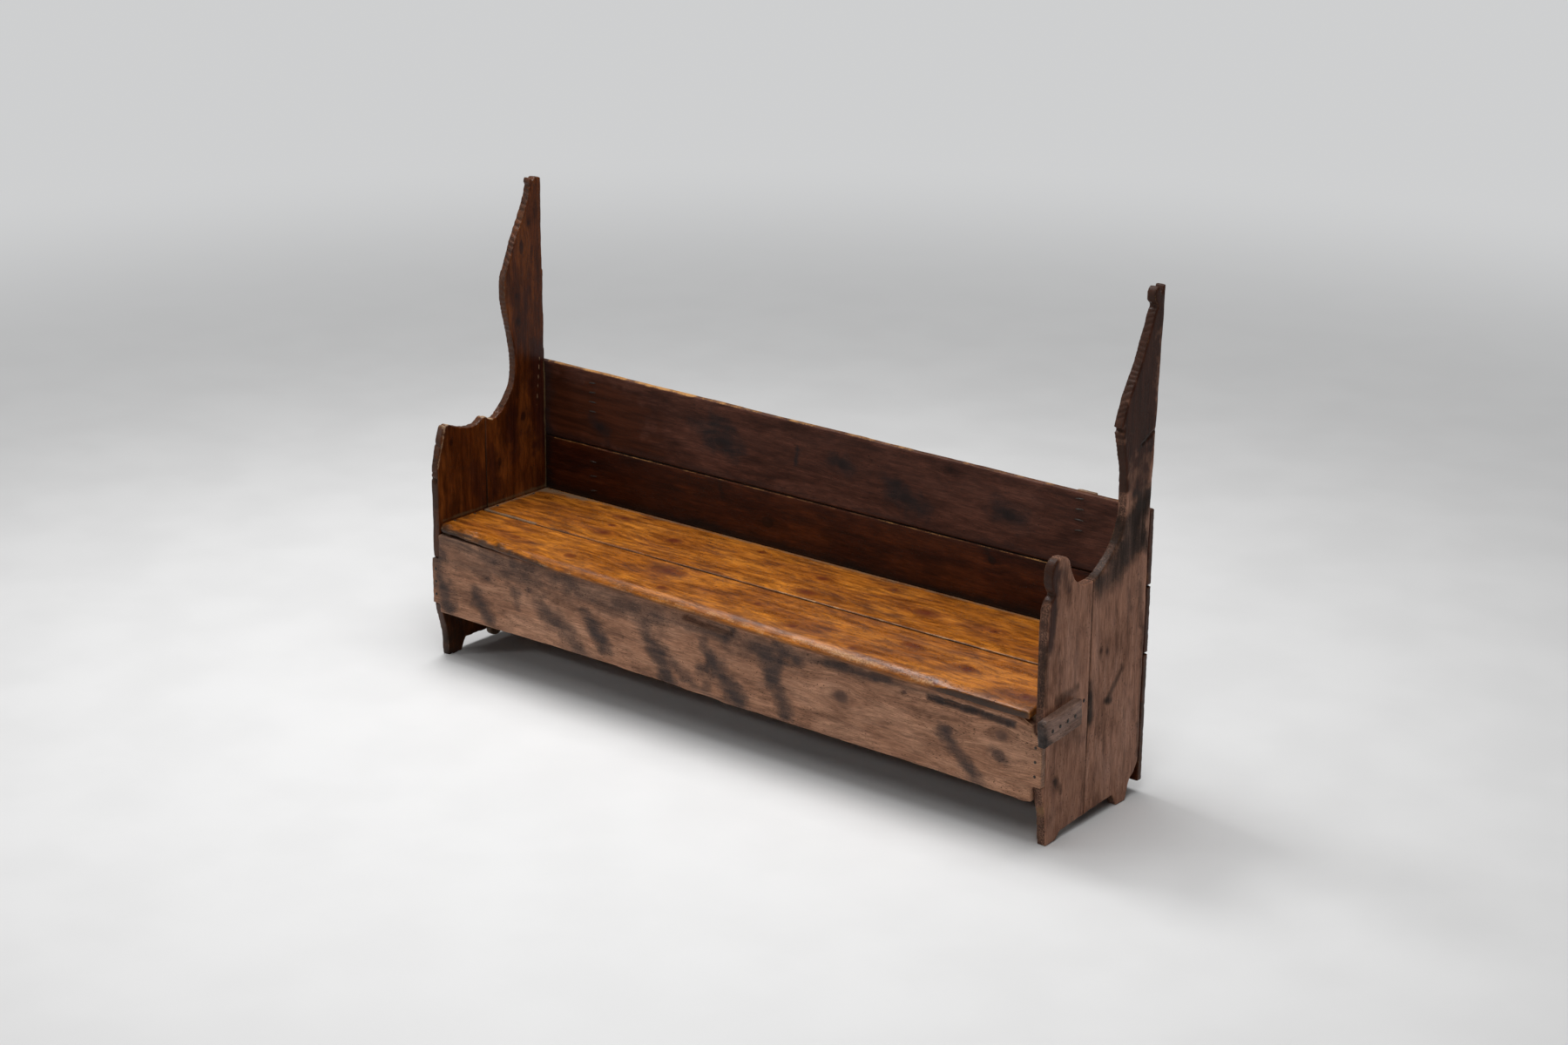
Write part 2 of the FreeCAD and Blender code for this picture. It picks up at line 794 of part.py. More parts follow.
def build():
    """Makes every piece and returns the finished ones, in the order of the bench."""
    left_end = EndShape("left")
    right_end = EndShape("right")
    middle_left = s.end_thick / 2
    middle_right = s.bench_length - s.end_thick / 2
    batten_left = s.back_batten_x
    batten_right = s.bench_length - s.back_batten_x
    outer_right = s.bench_length + s.cleat_thick
    seat_nail_left = inner_left + s.seat_nail_x
    seat_nail_right = inner_right - s.seat_nail_x

    left_apron_nails = apron_nails("left_apron_nails", s.apron_nail_inset)
    right_apron_nails = apron_nails("right_apron_nails", s.bench_length - s.apron_nail_inset)
    left_back_nails = back_nails("left_back_nails", middle_left)
    right_back_nails = back_nails("right_back_nails", middle_right)
    left_back_batten_nails = back_batten_nails("left_back_batten_nails", batten_left)
    right_back_batten_nails = back_batten_nails("right_back_batten_nails", batten_right)
    left_bearer_nails = bearer_nails("left_bearer_nails", inner_left + s.bearer_thick, False)
    right_bearer_nails = bearer_nails("right_bearer_nails", inner_right - s.bearer_thick, True)
    left_joint_batten_nails = joint_batten_nails(
        "left_joint_batten_nails", inner_left + s.batten_thick, False)
    right_joint_batten_nails = joint_batten_nails(
        "right_joint_batten_nails", inner_right - s.batten_thick, True)
    left_seat_nails = seat_nails("left_seat_nails", seat_nail_left, ZERO)
    right_seat_nails = seat_nails("right_seat_nails", seat_nail_right, s.seat_droop)
    ledger_at = (s.ledger_nail_x, ledger_front, under_seat - s.ledger_nail_drop)
    ledger_pitch = (s.bench_length - s.ledger_nail_x * 2) / 6
    ledger_nails = nail_row("ledger_nails", XZ, ALONG, ledger_at,
                            s.ledger_thick + s.nail_bite, 7, ledger_pitch)
    left_cleat_nails = cleat_nails(
        "left_cleat_nails", -s.cleat_thick, s.left_cleat_y, left_cleat_z, s.left_cleat_tilt,
        s.cleat_thick + s.end_thick + s.tip_out, s.left_cleat_nail_y, 5,
        s.left_cleat_nail_pitch, True)
    cleat_row = cleat_nails(
        "right_cleat_row", outer_right, s.right_cleat_y, right_cleat_z, s.right_cleat_tilt,
        s.cleat_thick + s.nail_bite, s.cleat_nail_y, 4, s.cleat_nail_pitch, False)
    stray = nail_row("stray_nail", YZ, ALONG,
                     (s.bench_length, s.stray_nail_y, s.stray_nail_z), s.nail_bite, 1, ZERO)
    right_cleat_nails = group("right_cleat_nails", [cleat_row, stray])

    apron, filler = apron_and_filler()
    half_gap = s.back_gap / 2
    low_top = back_low_joint - half_gap
    mid_low = back_low_joint + half_gap
    mid_top = back_joint - half_gap
    ledger = bar("ledger_blank", inner_left, ledger_front, under_seat - s.ledger_height,
                 s.ledger_thick, s.ledger_height, inner_length)
    level_bearer = bar("left_bearer_blank", inner_left, apron_back, bearer_low,
                       ledger_front - apron_back, s.bearer_height, s.bearer_thick)

    return [
        driven(left_front_board(left_end), "left_front_board",
               [left_apron_nails, left_cleat_nails, left_joint_batten_nails,
                left_bearer_nails]),
        driven(rear_board("left_rear_board_blank", left_end, ZERO, plain_tip),
               "left_rear_board",
               [left_back_nails, left_cleat_nails, left_joint_batten_nails,
                left_bearer_nails]),
        driven(right_front_board(right_end), "right_front_board",
               [right_apron_nails, right_cleat_nails, right_joint_batten_nails,
                right_bearer_nails]),
        driven(rear_board("right_rear_board_blank", right_end, inner_right, knob_tip),
               "right_rear_board",
               [right_back_nails, right_joint_batten_nails, right_bearer_nails]),
        driven(apron, "front_apron", [left_apron_nails, right_apron_nails]),
        filler,
        driven(seat_front_board(), "seat_front_board", [left_seat_nails, right_seat_nails]),
        driven(seat_rear_board(), "seat_rear_board", [left_seat_nails, right_seat_nails]),
        driven(back_board("back_upper_board_blank", back_joint + half_gap,
                          back_left_top, back_right_top), "back_upper_board",
               [left_back_nails, right_back_nails, left_back_batten_nails,
                right_back_batten_nails]),
        driven(back_board("back_middle_board_blank", mid_low, mid_top, mid_top),
               "back_middle_board",
               [left_back_nails, right_back_nails, left_back_batten_nails,
                right_back_batten_nails]),
        driven(back_board("back_lower_board_blank", s.back_bottom, low_top, low_top),
               "back_lower_board", [left_back_nails, right_back_nails, ledger_nails]),
        driven(ledger, "seat_rear_ledger", [ledger_nails]),
        driven(level_bearer, "left_seat_bearer", [left_bearer_nails, left_seat_nails]),
        driven(sunk_bearer("right_bearer_blank", inner_right - s.bearer_thick),
               "right_seat_bearer", [right_bearer_nails, right_seat_nails]),
        driven(joint_batten("left_joint_batten_blank", inner_left), "left_joint_batten",
               [left_joint_batten_nails]),
        driven(joint_batten("right_joint_batten_blank", inner_right - s.batten_thick),
               "right_joint_batten", [right_joint_batten_nails]),
        driven(back_batten("left_back_batten_blank", batten_left), "left_back_batten",
               [left_back_batten_nails]),
        driven(back_batten("right_back_batten_blank", batten_right), "right_back_batten",
               [right_back_batten_nails]),
        driven(bar("left_cleat_blank", -s.cleat_thick, s.left_cleat_y, left_cleat_z,
                   s.cleat_length, s.cleat_height, s.cleat_thick, s.left_cleat_tilt),
               "left_outer_cleat", [left_cleat_nails]),
        driven(bar("right_cleat_blank", s.bench_length, s.right_cleat_y, right_cleat_z,
                   s.cleat_length, s.cleat_height, s.cleat_thick, s.right_cleat_tilt),
               "right_outer_cleat", [right_cleat_nails]),
        left_apron_nails, right_apron_nails, left_back_nails, right_back_nails,
        left_back_batten_nails, right_back_batten_nails, left_bearer_nails,
        right_bearer_nails, left_joint_batten_nails, right_joint_batten_nails,
        left_seat_nails, right_seat_nails, ledger_nails, left_cleat_nails, right_cleat_nails,
    ]


def check(pieces):
    """Stops if any object failed, or a piece has no sound shape."""
    for item in document.Objects:
        if "Invalid" in item.State or "Error" in item.State:
            raise RuntimeError(f"{item.Label} failed: {item.State}")
    for piece in pieces:
        if piece.Shape.isNull() or not piece.Shape.isValid():
            raise RuntimeError(f"{piece.Label} has no sound shape")


pieces = build()
document.recompute()
check(pieces)
os.makedirs("parts", exist_ok=True)
for piece in pieces:
    piece.Shape.exportStep(os.path.join("parts", piece.Label + ".step"))
    box = piece.Shape.BoundBox
    print(f"{piece.Label}: {len(piece.Shape.Solids)} solids, {piece.Shape.Volume:.0f} mm3, "
          f"{box.XLength:.1f} x {box.YLength:.1f} x {box.ZLength:.1f}")
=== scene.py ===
"""Dresses an old plank settle: worn and broken boards, aged varnish and forged nails."""

import logging
import math
from collections.abc import Callable, Sequence
from dataclasses import dataclass, field, replace
from enum import Enum, IntEnum

import bmesh
import bpy
import numpy as np
from mathutils import Matrix, Vector


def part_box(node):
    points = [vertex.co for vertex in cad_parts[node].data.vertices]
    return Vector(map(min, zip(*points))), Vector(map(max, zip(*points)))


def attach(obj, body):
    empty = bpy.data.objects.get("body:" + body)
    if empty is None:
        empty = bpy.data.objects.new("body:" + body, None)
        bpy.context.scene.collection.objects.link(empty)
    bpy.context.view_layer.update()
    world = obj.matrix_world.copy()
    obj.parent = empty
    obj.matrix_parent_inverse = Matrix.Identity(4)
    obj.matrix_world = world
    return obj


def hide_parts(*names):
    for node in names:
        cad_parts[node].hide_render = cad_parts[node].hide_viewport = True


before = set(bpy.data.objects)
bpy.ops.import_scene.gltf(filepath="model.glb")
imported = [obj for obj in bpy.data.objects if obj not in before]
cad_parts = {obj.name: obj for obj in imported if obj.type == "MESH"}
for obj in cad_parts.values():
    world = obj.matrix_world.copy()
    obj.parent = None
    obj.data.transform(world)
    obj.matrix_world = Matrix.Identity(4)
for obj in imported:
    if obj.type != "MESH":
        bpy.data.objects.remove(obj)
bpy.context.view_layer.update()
LOG = logging.getLogger("settle")

MM = 0.001
# The sizes below are in millimetres from the left end's outer face, its front edge and the floor.
ORIGIN_MM = np.array((1100.0, 242.319, 0.0))
SEAT_TOP = 428.0
Point = tuple[float, float]
Colour = tuple[float, float, float]

# The spacing of a board's late wood lines and how far they sway, in metres.
RING_PITCH = 0.011
RING_SWAY = 0.11
PORE_COLOUR = (0.014, 0.008, 0.005)
HOLE_COLOUR = (0.012, 0.007, 0.005)
# The sizes of the lumps that wear follows, along and across the grain in millimetres.
LUMP_ALONG = 60.0
LUMP_ACROSS = 14.0
# How far the grain's own waves reach, along and across it in millimetres.
WAVE_ALONG = 420.0
WAVE_ACROSS = 90.0
GRAIN_WAVE = 9.0


class Face(Enum):
    """The plane of a board's outline, as indices of its two axes and its thickness."""

    SIDE = (1, 2, 0)
    FRONT = (0, 2, 1)
    TOP = (0, 1, 2)


class Grain(Enum):
    """The axis that the wood's fibres run along."""

    LENGTHWISE = 0
    FRONT_TO_BACK = 1
    UPRIGHT = 2


class Pattern(IntEnum):
    """The noises of one board, as what is added to its seed."""

    GNAWED = 0
    RAGGED = 3
    PLANED = 5
    NOTCHED = 9
    RUBBED = 21
    SPOTTED = 31
    FLOWING = 41


# ---------------------------------------------------------------- noise and small helpers


def lattice(cells: np.ndarray, seed: int) -> np.ndarray:
    """Gives each lattice cell a fixed random value.

    Args:
        cells: Whole numbers, three columns.
        seed: Which of the endless patterns to use.

    Returns:
        One value from -1 to 1 for each row.
    """
    mixed = (cells[:, 0] * 374761393 + cells[:, 1] * 668265263 + cells[:, 2] * 2147483647
             + seed * 1274126177) & 0xFFFFFFFF
    mixed = ((mixed ^ (mixed >> 13)) * 1103515245) & 0xFFFFFFFF
    mixed = ((mixed ^ (mixed >> 16)) * 668265263) & 0xFFFFFFFF
    return (mixed ^ (mixed >> 15)) % 65536 / 32767.5 - 1


def noise(points: np.ndarray, size: float | Sequence[float], seed: int,
          octaves: int = 1) -> np.ndarray:
    """Smooth seeded noise.

    Args:
        points: Places in millimetres, three columns.
        size: The size of its lumps in millimetres, one number or one for each axis.
        seed: Which pattern to use.
        octaves: How many finer layers are added, each half as strong.

    Returns:
        About -1 to 1 for each row.
    """
    total = np.zeros(len(points))
    for octave in range(octaves):
        scaled = points / np.asarray(size, float) * 2 ** octave + 1000
        cell = np.floor(scaled).astype(np.int64)
        part = scaled - cell
        part = part * part * (3 - 2 * part)
        for corner in range(8):
            step = np.array((corner & 1, corner >> 1 & 1, corner >> 2 & 1))
            weight = np.prod(np.where(step, part, 1 - part), axis=1)
            total += lattice(cell + step, seed + octave * 17) * weight / 2 ** octave
    return total


def fade(value: np.ndarray, start: float, end: float) -> np.ndarray:
    """Goes smoothly from 0 at start to 1 at end, which may be the smaller."""
    share = np.clip((value - start) / (end - start), 0, 1)
    return share * share * (3 - 2 * share)


def from_capsule(points: np.ndarray, start: Sequence[float], end: Sequence[float]) -> np.ndarray:
    """Distance of each point from the line between two ends, in any number of axes."""
    start, end = np.asarray(start, float), np.asarray(end, float)
    along = end - start
    length = max(float(along @ along), 1e-9)
    share = np.clip((points - start) @ along / length, 0, 1)
    return np.linalg.norm(points - start - share[:, None] * along, axis=1)


def from_outline(points: np.ndarray, outline: Sequence[Point]) -> np.ndarray:
    """Distance of each point from a closed outline, in the outline's plane."""
    nearest = np.full(len(points), 1e9)
    for begin, end in zip(outline, [*outline[1:], outline[0]]):
        np.minimum(nearest, from_capsule(points, begin, end), out=nearest)
    return nearest


def rounded(outline: Sequence[Point], turns: int = 2) -> list[Point]:
    """Cuts the blunt corners of an outline again and again, and keeps its sharp ones.

    Args:
        outline: Its corners in order.
        turns: How often the corners are cut.

    Returns:
        The corners of the smoother outline.
    """
    for _ in range(turns):
        result: list[Point] = []
        for before, here, after in zip([outline[-1], *outline[:-1]], outline,
                                       [*outline[1:], outline[0]]):
            into = math.atan2(here[1] - before[1], here[0] - before[0])
            out = math.atan2(after[1] - here[1], after[0] - here[0])
            turn = abs((out - into + math.pi) % (2 * math.pi) - math.pi)
            if turn > math.radians(52) or turn < math.radians(3):
                result.append(here)
                continue
            for other in (before, after):
                result.append((here[0] * 0.78 + other[0] * 0.22, here[1] * 0.78 + other[1] * 0.22))
        outline = result
    return list(outline)


def alone(piece: bpy.types.Object) -> None:
    """Makes a piece the only selected and active object."""
    bpy.ops.object.select_all(action="DESELECT")
    piece.select_set(True)
    bpy.context.view_layer.objects.active = piece


def apply_modifier(piece: bpy.types.Object, kind: str, **values: object) -> None:
    """Adds a modifier to a piece, sets its values and applies it.

    Args:
        piece: The object that is shaped.
        kind: The modifier's type.
        **values: Its settings by name.
    """
    alone(piece)
    modifier = piece.modifiers.new(kind.title(), kind)
    for name, value in values.items():
        setattr(modifier, name, value)
    bpy.ops.object.modifier_apply(modifier=modifier.name)


def points_of(piece: bpy.types.Object) -> np.ndarray:
    """A piece's points in millimetres from the bench's own corner."""
    flat = np.empty(len(piece.data.vertices) * 3, np.float32)
    piece.data.vertices.foreach_get("co", flat)
    return flat.reshape(-1, 3).astype(float) / MM + ORIGIN_MM


def set_points(piece: bpy.types.Object, points: np.ndarray) -> None:
    """Moves a piece's points to places in millimetres from the bench's own corner."""
    flat = ((points - ORIGIN_MM) * MM).astype(np.float32).ravel()
    piece.data.vertices.foreach_set("co", flat)
    piece.data.update()


def normals_of(piece: bpy.types.Object) -> np.ndarray:
    """The outward direction at each of a piece's points."""
    flat = np.empty(len(piece.data.vertices) * 3, np.float32)
    piece.data.vertex_normals.foreach_get("vector", flat)
    return flat.reshape(-1, 3).astype(float)


# ---------------------------------------------------------------- shader nodes


class Shade:
    """Builds one procedural material node by node."""

    def __init__(self, name: str) -> None:
        """Starts a material with a principled shader.

        Args:
            name: The material's name.
        """
        self.material = bpy.data.materials.new(name)
        self.material.use_nodes = True
        self.tree = self.material.node_tree
        self.shader = self.tree.nodes["Principled BSDF"]

    def node(self, kind: str, settings: dict[str, object] | None = None,
             **inputs: object) -> bpy.types.Node:
        """Adds a node.

        Args:
            kind: The node's type without its Shader prefix.
            settings: Values of the node itself.
            **inputs: Values or sockets by input name, with _ for a space.

        Returns:
            The new node.
        """
        made = self.tree.nodes.new("ShaderNode" + kind)
        for name, value in (settings or {}).items():
            setattr(made, name, value)
        for name, value in inputs.items():
            self.feed(made.inputs[name.replace("_", " ")], value)
        return made

    def feed(self, socket: bpy.types.NodeSocket, value: object) -> None:
        """Links a socket to another one, or sets its value."""
        if isinstance(value, bpy.types.NodeSocket):
            self.tree.links.new(value, socket)
        else:
            socket.default_value = value

    def maths(self, operation: str, first: object, second: object = 0.0,
              clamp: bool = False) -> bpy.types.NodeSocket:
        """Works out one sum.

        Args:
            operation: The Math node's operation.
            first: A number or socket.
            second: A number or socket.
            clamp: Keeps the result between 0 and 1.

        Returns:
            The result's socket.
        """
        made = self.node("Math", {"operation": operation, "use_clamp": clamp})
        self.feed(made.inputs[0], first)
        self.feed(made.inputs[1], second)
        return made.outputs[0]

    def times(self, first: object, second: object) -> bpy.types.NodeSocket:
        """Multiplies two values."""
        return self.maths("MULTIPLY", first, second)

    def weighed(self, *parts: tuple[object, float]) -> bpy.types.NodeSocket:
        """Adds up values, each times its weight."""
        total = self.times(*parts[0])
        for value, weight in parts[1:]:
            total = self.maths("ADD", total, self.times(value, weight))
        return total

    def ragged(self, value: object, *layers: tuple[object, float]) -> bpy.types.NodeSocket:
        """Adds noises to a value, each centred on nought and times its weight."""
        for layer, weight in layers:
            centred = self.maths("SUBTRACT", layer, 0.5)
            value = self.maths("ADD", value, self.times(centred, weight))
        return value

    def spread(self, value: object, low: float, high: float, to_low: float = 0.0,
               to_high: float = 1.0) -> bpy.types.NodeSocket:
        """Maps a range of values smoothly onto another one and keeps within it."""
        made = self.node("MapRange", {"interpolation_type": "SMOOTHSTEP"})
        for name, number in zip(("Value", "From Min", "From Max", "To Min", "To Max"),
                                (value, low, high, to_low, to_high)):
            self.feed(made.inputs[name], number)
        return made.outputs["Result"]

    def blend(self, share: object, first: object, second: object,
              mode: str = "MIX") -> bpy.types.NodeSocket:
        """Mixes two colours.

        Args:
            share: How much of the second one shows.
            first: A colour or socket.
            second: A colour or socket.
            mode: How they mix.

        Returns:
            The mixed colour's socket.
        """
        made = self.node("Mix", {"data_type": "RGBA", "blend_type": mode})
        self.feed(made.inputs["Factor"], share)
        for socket, value in ((made.inputs[6], first), (made.inputs[7], second)):
            self.feed(socket, (*value, 1.0) if isinstance(value, tuple) else value)
        return made.outputs[2]

    def stretched(self, vector: bpy.types.NodeSocket, scale: Sequence[float],
                  shift: float = 0.0) -> bpy.types.NodeSocket:
        """Scales a vector by a different number along each axis."""
        made = self.node("Mapping")
        self.feed(made.inputs["Vector"], vector)
        made.inputs["Scale"].default_value = scale
        made.inputs["Location"].default_value = (shift, shift, shift)
        return made.outputs["Vector"]

    def noise(self, vector: bpy.types.NodeSocket, scale: float, detail: float = 2.0,
              roughness: float = 0.5, distortion: float = 0.0) -> bpy.types.NodeSocket:
        """Noise from 0 to 1 on a vector."""
        made = self.node("TexNoise", Vector=vector, Scale=scale, Detail=detail,
                         Roughness=roughness, Distortion=distortion)
        return made.outputs["Fac"]

    def painted(self, name: str) -> bpy.types.Node:
        """Reads what was painted on the piece's points under a name."""
        return self.node("Attribute", {"attribute_name": name})

    def finish(self, colour: object, roughness: object, height: object, depth: float) -> None:
        """Joins the last colour, roughness and relief to the shader.

        Args:
            colour: The colour's socket.
            roughness: The roughness's socket.
            height: The relief's socket.
            depth: How deep the relief is in metres.
        """
        bump = self.node("Bump", Height=height, Distance=depth, Strength=1.0)
        self.feed(self.shader.inputs["Base Color"], colour)
        self.feed(self.shader.inputs["Roughness"], roughness)
        self.feed(self.shader.inputs["Normal"], bump.outputs["Normal"])


@dataclass(frozen=True)
class WoodFinish:
    """How one kind of board's surface looks: its wood, varnish, dirt, wear, painted shade and
    painted highlights.
    """

    name: str
    dark: Colour
    middle: Colour
    light: Colour
    knot: Colour
    stain_and_shade: Colour
    worn: Colour
    dirt: Colour
    rim: Colour
    glossy: float
    matt: float
    specular: float = 0.4
    ring_depth: float = 0.3
    relief: float = 0.0006
    speckle: float = 0.8
    blotch: float = 0.6
    rim_share: float = 0.5
    varnish: Colour = (0.03, 0.009, 0.005)
    mottle: float = 0.5
    pores: float = 0.6
    rim_gloss: float = 0.4

    def wood_colour(self, s: Shade, place: bpy.types.NodeSocket, fibres: bpy.types.NodeSocket,
                    streaks: bpy.types.NodeSocket, rings: bpy.types.NodeSocket,
                    clouds: bpy.types.NodeSocket) -> bpy.types.NodeSocket:
        """Colours the sound wood by its streaks, clouds, rings and fibres.

        Args:
            s: The material that is being built.
            place: The grain's own coordinates.
            fibres: Noise of single fibres.
            streaks: Noise of long streaks.
            rings: Dark lines of late wood.
            clouds: Noise of broad patches.

        Returns:
            The colour's socket.
        """
        colour = s.blend(s.spread(streaks, 0.26, 0.5, 0.25, 1.0), self.dark, self.middle)
        colour = s.blend(s.spread(streaks, 0.5, 0.7, 0.0, 0.75), colour, self.light)
        patches = s.spread(clouds, 0.46, 0.68)
        colour = s.blend(s.times(patches, self.blotch), colour, self.dark)
        pale = s.noise(s.stretched(place, (4, 13, 13), 11.4), 1.0, 3.0, 0.6)
        colour = s.blend(s.spread(pale, 0.46, 0.66, 0.0, 0.7), colour, self.light)
        colour = s.blend(s.times(rings, self.ring_depth), colour, self.dark)
        threads = s.blend(s.spread(fibres, 0.36, 0.66), (0.42, 0.39, 0.37), (1.34, 1.28, 1.22))
        colour = s.blend(0.55, colour, threads, "MULTIPLY")
        mottled = s.noise(s.stretched(place, (13, 62, 62), 8.8), 1.0, 6.0, 0.72)
        tone = s.blend(s.spread(mottled, 0.36, 0.64), (0.50, 0.42, 0.36), (1.42, 1.36, 1.28))
        return s.blend(self.mottle, colour, tone, "MULTIPLY")

    def build(self) -> bpy.types.Material:
        """Makes the material.

        Returns:
            The finished material.
        """
        s = Shade(self.name)
        place = s.painted("grain").outputs["Vector"]
        coat, knot, tint, stain_and_shade, wear, dirt, rim = (
            s.painted(name).outputs["Fac"]
            for name in ("varnish", "knot", "tint", "stain_and_shade", "wear", "dirt", "rim"))
        fibres = s.noise(s.stretched(place, (24, 760, 760)), 1.0, 3.0, 0.65)
        streaks = s.noise(s.stretched(place, (3.2, 52, 40)), 1.0, 6.0, 0.68)
        clouds = s.noise(s.stretched(place, (6, 17, 17), 3.1), 1.0, 5.0, 0.66)
        fine = s.noise(place, 260.0, 5.0, 0.7)
        rings = self.late_wood(s, place)
        colour = self.wood_colour(s, place, fibres, streaks, rings, clouds)

        coated = s.times(s.spread(s.ragged(coat, (clouds, 0.9)), 0.1, 0.75),
                         s.spread(coat, 0.0, 0.25))
        pale = tuple(min(1.0, value * 2.4) for value in self.varnish)
        deep = s.blend(s.spread(streaks, 0.34, 0.66), self.varnish, pale)
        colour = s.blend(s.times(coated, 0.93), colour, deep)

        round_knot = s.ragged(knot, (clouds, 1.6), (fine, 0.6))
        core = s.spread(round_knot, 1.2, 0.6)
        ring = s.times(s.spread(round_knot, 0.55, 0.9), s.spread(round_knot, 1.35, 1.0))
        reddish = s.times(tint, s.spread(streaks, 0.3, 0.6, 0.4, 1.0))
        colour = s.blend(s.times(reddish, 0.75), colour, self.knot)
        colour = s.blend(s.times(core, 0.7), colour, self.knot)
        colour = s.blend(s.times(ring, 0.6), colour, self.dark)

        rims = s.times(rim, self.rim_share)
        colour = s.blend(s.times(rims, s.spread(fine, 0.3, 0.6)), colour, self.rim)
        # The stain colour here paints real stains and, where the stain layer holds it, painted
        # shadow.
        veil = s.ragged(stain_and_shade, (streaks, 1.3), (clouds, 0.6), (fine, 0.7))
        veil = s.times(s.spread(veil, -0.1, 1.15), s.spread(stain_and_shade, 0.0, 0.4))
        colour = s.blend(veil, colour, self.stain_and_shade)

        pore, hole = self.openings(s, place)
        colour = s.blend(s.times(pore, self.pores), colour, PORE_COLOUR)
        colour = s.blend(s.times(hole, self.speckle), colour, HOLE_COLOUR)

        # The worn colour here paints real wear and, where the rubs hold it, painted highlights.
        rubbed = s.times(s.spread(s.ragged(wear, (fine, 1.1), (clouds, 1.0)), 0.25, 0.8),
                         s.spread(wear, 0.04, 0.3))
        colour = s.blend(s.times(rubbed, 0.8), colour, self.worn)
        grime = s.times(s.spread(s.ragged(dirt, (fine, 0.9)), 0.15, 0.8),
                        s.spread(dirt, 0.02, 0.2))
        colour = s.blend(s.times(grime, 0.85), colour, self.dirt)

        rough = s.weighed((clouds, 0.5), (streaks, 0.5))
        rough = s.spread(rough, 0.38, 0.64, self.glossy, self.matt)
        rough = s.maths("ADD", s.ragged(rough, (fine, 0.35)), s.times(grime, 0.3))
        rough = s.maths("ADD", rough, s.times(veil, 0.05), clamp=True)
        rough = s.spread(s.times(coated, 0.9), 0.0, 1.0, rough, self.glossy)
        rough = s.spread(rims, 0.0, 1.0, rough, self.rim_gloss)

        height = s.weighed((fibres, 0.3), (streaks, 0.3), (rings, 0.2), (fine, 0.5), (hole, -1.2),
                           (pore, -0.5), (s.times(rims, clouds), 2.2), (core, 0.3))
        s.shader.inputs["Specular IOR Level"].default_value = self.specular
        s.finish(colour, rough, height, self.relief)
        return s.material

    def late_wood(self, s: Shade, place: bpy.types.NodeSocket) -> bpy.types.NodeSocket:
        """Draws the dark lines of late wood across the grain.

        Args:
            s: The material that is being built.
            place: The grain's own coordinates.

        Returns:
            1 on a line, 0 between them.
        """
        broad = s.noise(s.stretched(place, (0.8, 16, 16), 7.3), 1.0, 2.0, 0.5)
        across = s.node("SeparateXYZ", Vector=place).outputs["Y"]
        sway = s.noise(s.stretched(place, (1.3, 9, 5), 2.2), 1.0, 3.0, 0.5)
        phase = s.weighed((across, 1 / RING_PITCH), (sway, RING_SWAY / RING_PITCH))
        saw = s.maths("FRACT", phase)
        late = s.maths("SUBTRACT", s.spread(saw, 0.35, 0.93), s.spread(saw, 0.93, 1.0))
        return s.times(late, s.spread(broad, 0.35, 0.65, 0.2, 1.0))

    def openings(self, s: Shade, place: bpy.types.NodeSocket) -> tuple[bpy.types.NodeSocket, ...]:
        """Scatters short open pores and small holes over the wood.

        Args:
            s: The material that is being built.
            place: The grain's own coordinates.

        Returns:
            How far each point lies in a pore, and in a hole.
        """
        dashes = s.noise(s.stretched(place, (85, 620, 620), 1.9), 1.0, 1.0, 0.4)
        porous = s.noise(s.stretched(place, (9, 30, 30), 4.4), 1.0, 2.0, 0.5)
        pore = s.times(s.spread(dashes, 0.62, 0.70), s.spread(porous, 0.38, 0.6))
        pits = s.node("TexVoronoi", Vector=s.stretched(place, (90, 130, 130)), Scale=1.0)
        chance = s.node("SeparateColor", Color=pits.outputs["Color"]).outputs[0]
        pocked = s.noise(s.stretched(place, (3.2, 12, 12), 5.7), 1.0, 2.0, 0.5)
        hole = s.times(s.spread(pits.outputs["Distance"], 0.24, 0.12),
                       s.maths("GREATER_THAN", chance, 0.72))
        return pore, s.times(hole, s.spread(pocked, 0.4, 0.56))


@dataclass(frozen=True)
class IronFinish:
    """Dark forged iron whose heads are rubbed bright."""

    name: str
    dark: Colour
    rubbed: Colour
    rust: Colour

    def build(self) -> bpy.types.Material:
        """Makes the material.

        Returns:
            The finished material.
        """
        s = Shade(self.name)
        place = s.node("TexCoord").outputs["Object"]
        dents = s.noise(place, 900.0, 3.0, 0.6)
        patches = s.noise(place, 260.0, 4.0, 0.7)
        colour = s.blend(s.spread(dents, 0.35, 0.7), self.dark, self.rubbed)
        colour = s.blend(s.spread(patches, 0.5, 0.72), colour, self.rust)
        s.shader.inputs["Metallic"].default_value = 0.4
        s.finish(colour, s.spread(patches, 0.3, 0.75, 0.3, 0.75), dents, 0.0006)
        return s.material


# ---------------------------------------------------------------- marks on the boards


@dataclass(frozen=True)
class Knot:
    """A knot on a board's broad faces, that the grain flows round."""

    a: float
    b: float
    radius: float
    long: float = 1.3


@dataclass(frozen=True)
class Stain:
    """A patch between two points of a board's broad face: stain, dirt, wear, varnish, painted
    shadow and painted highlights.
    """

    a: float
    b: float
    to_a: float
    to_b: float
    width: float
    strength: float = 1.0


@dataclass(frozen=True)
class Chip:
    """Wood that is broken or cut away between two points in space."""

    start: tuple[float, float, float]
    end: tuple[float, float, float]
    radius: float
    depth: float


def knots(*rows: tuple[float, ...]) -> list[Knot]:
    """Knots from rows of their place, radius and length."""
    return [Knot(*row) for row in rows]


def stains(*rows: tuple[float, ...]) -> list[Stain]:
    """Patches from rows of their two ends, width and strength."""
    return [Stain(*row) for row in rows]


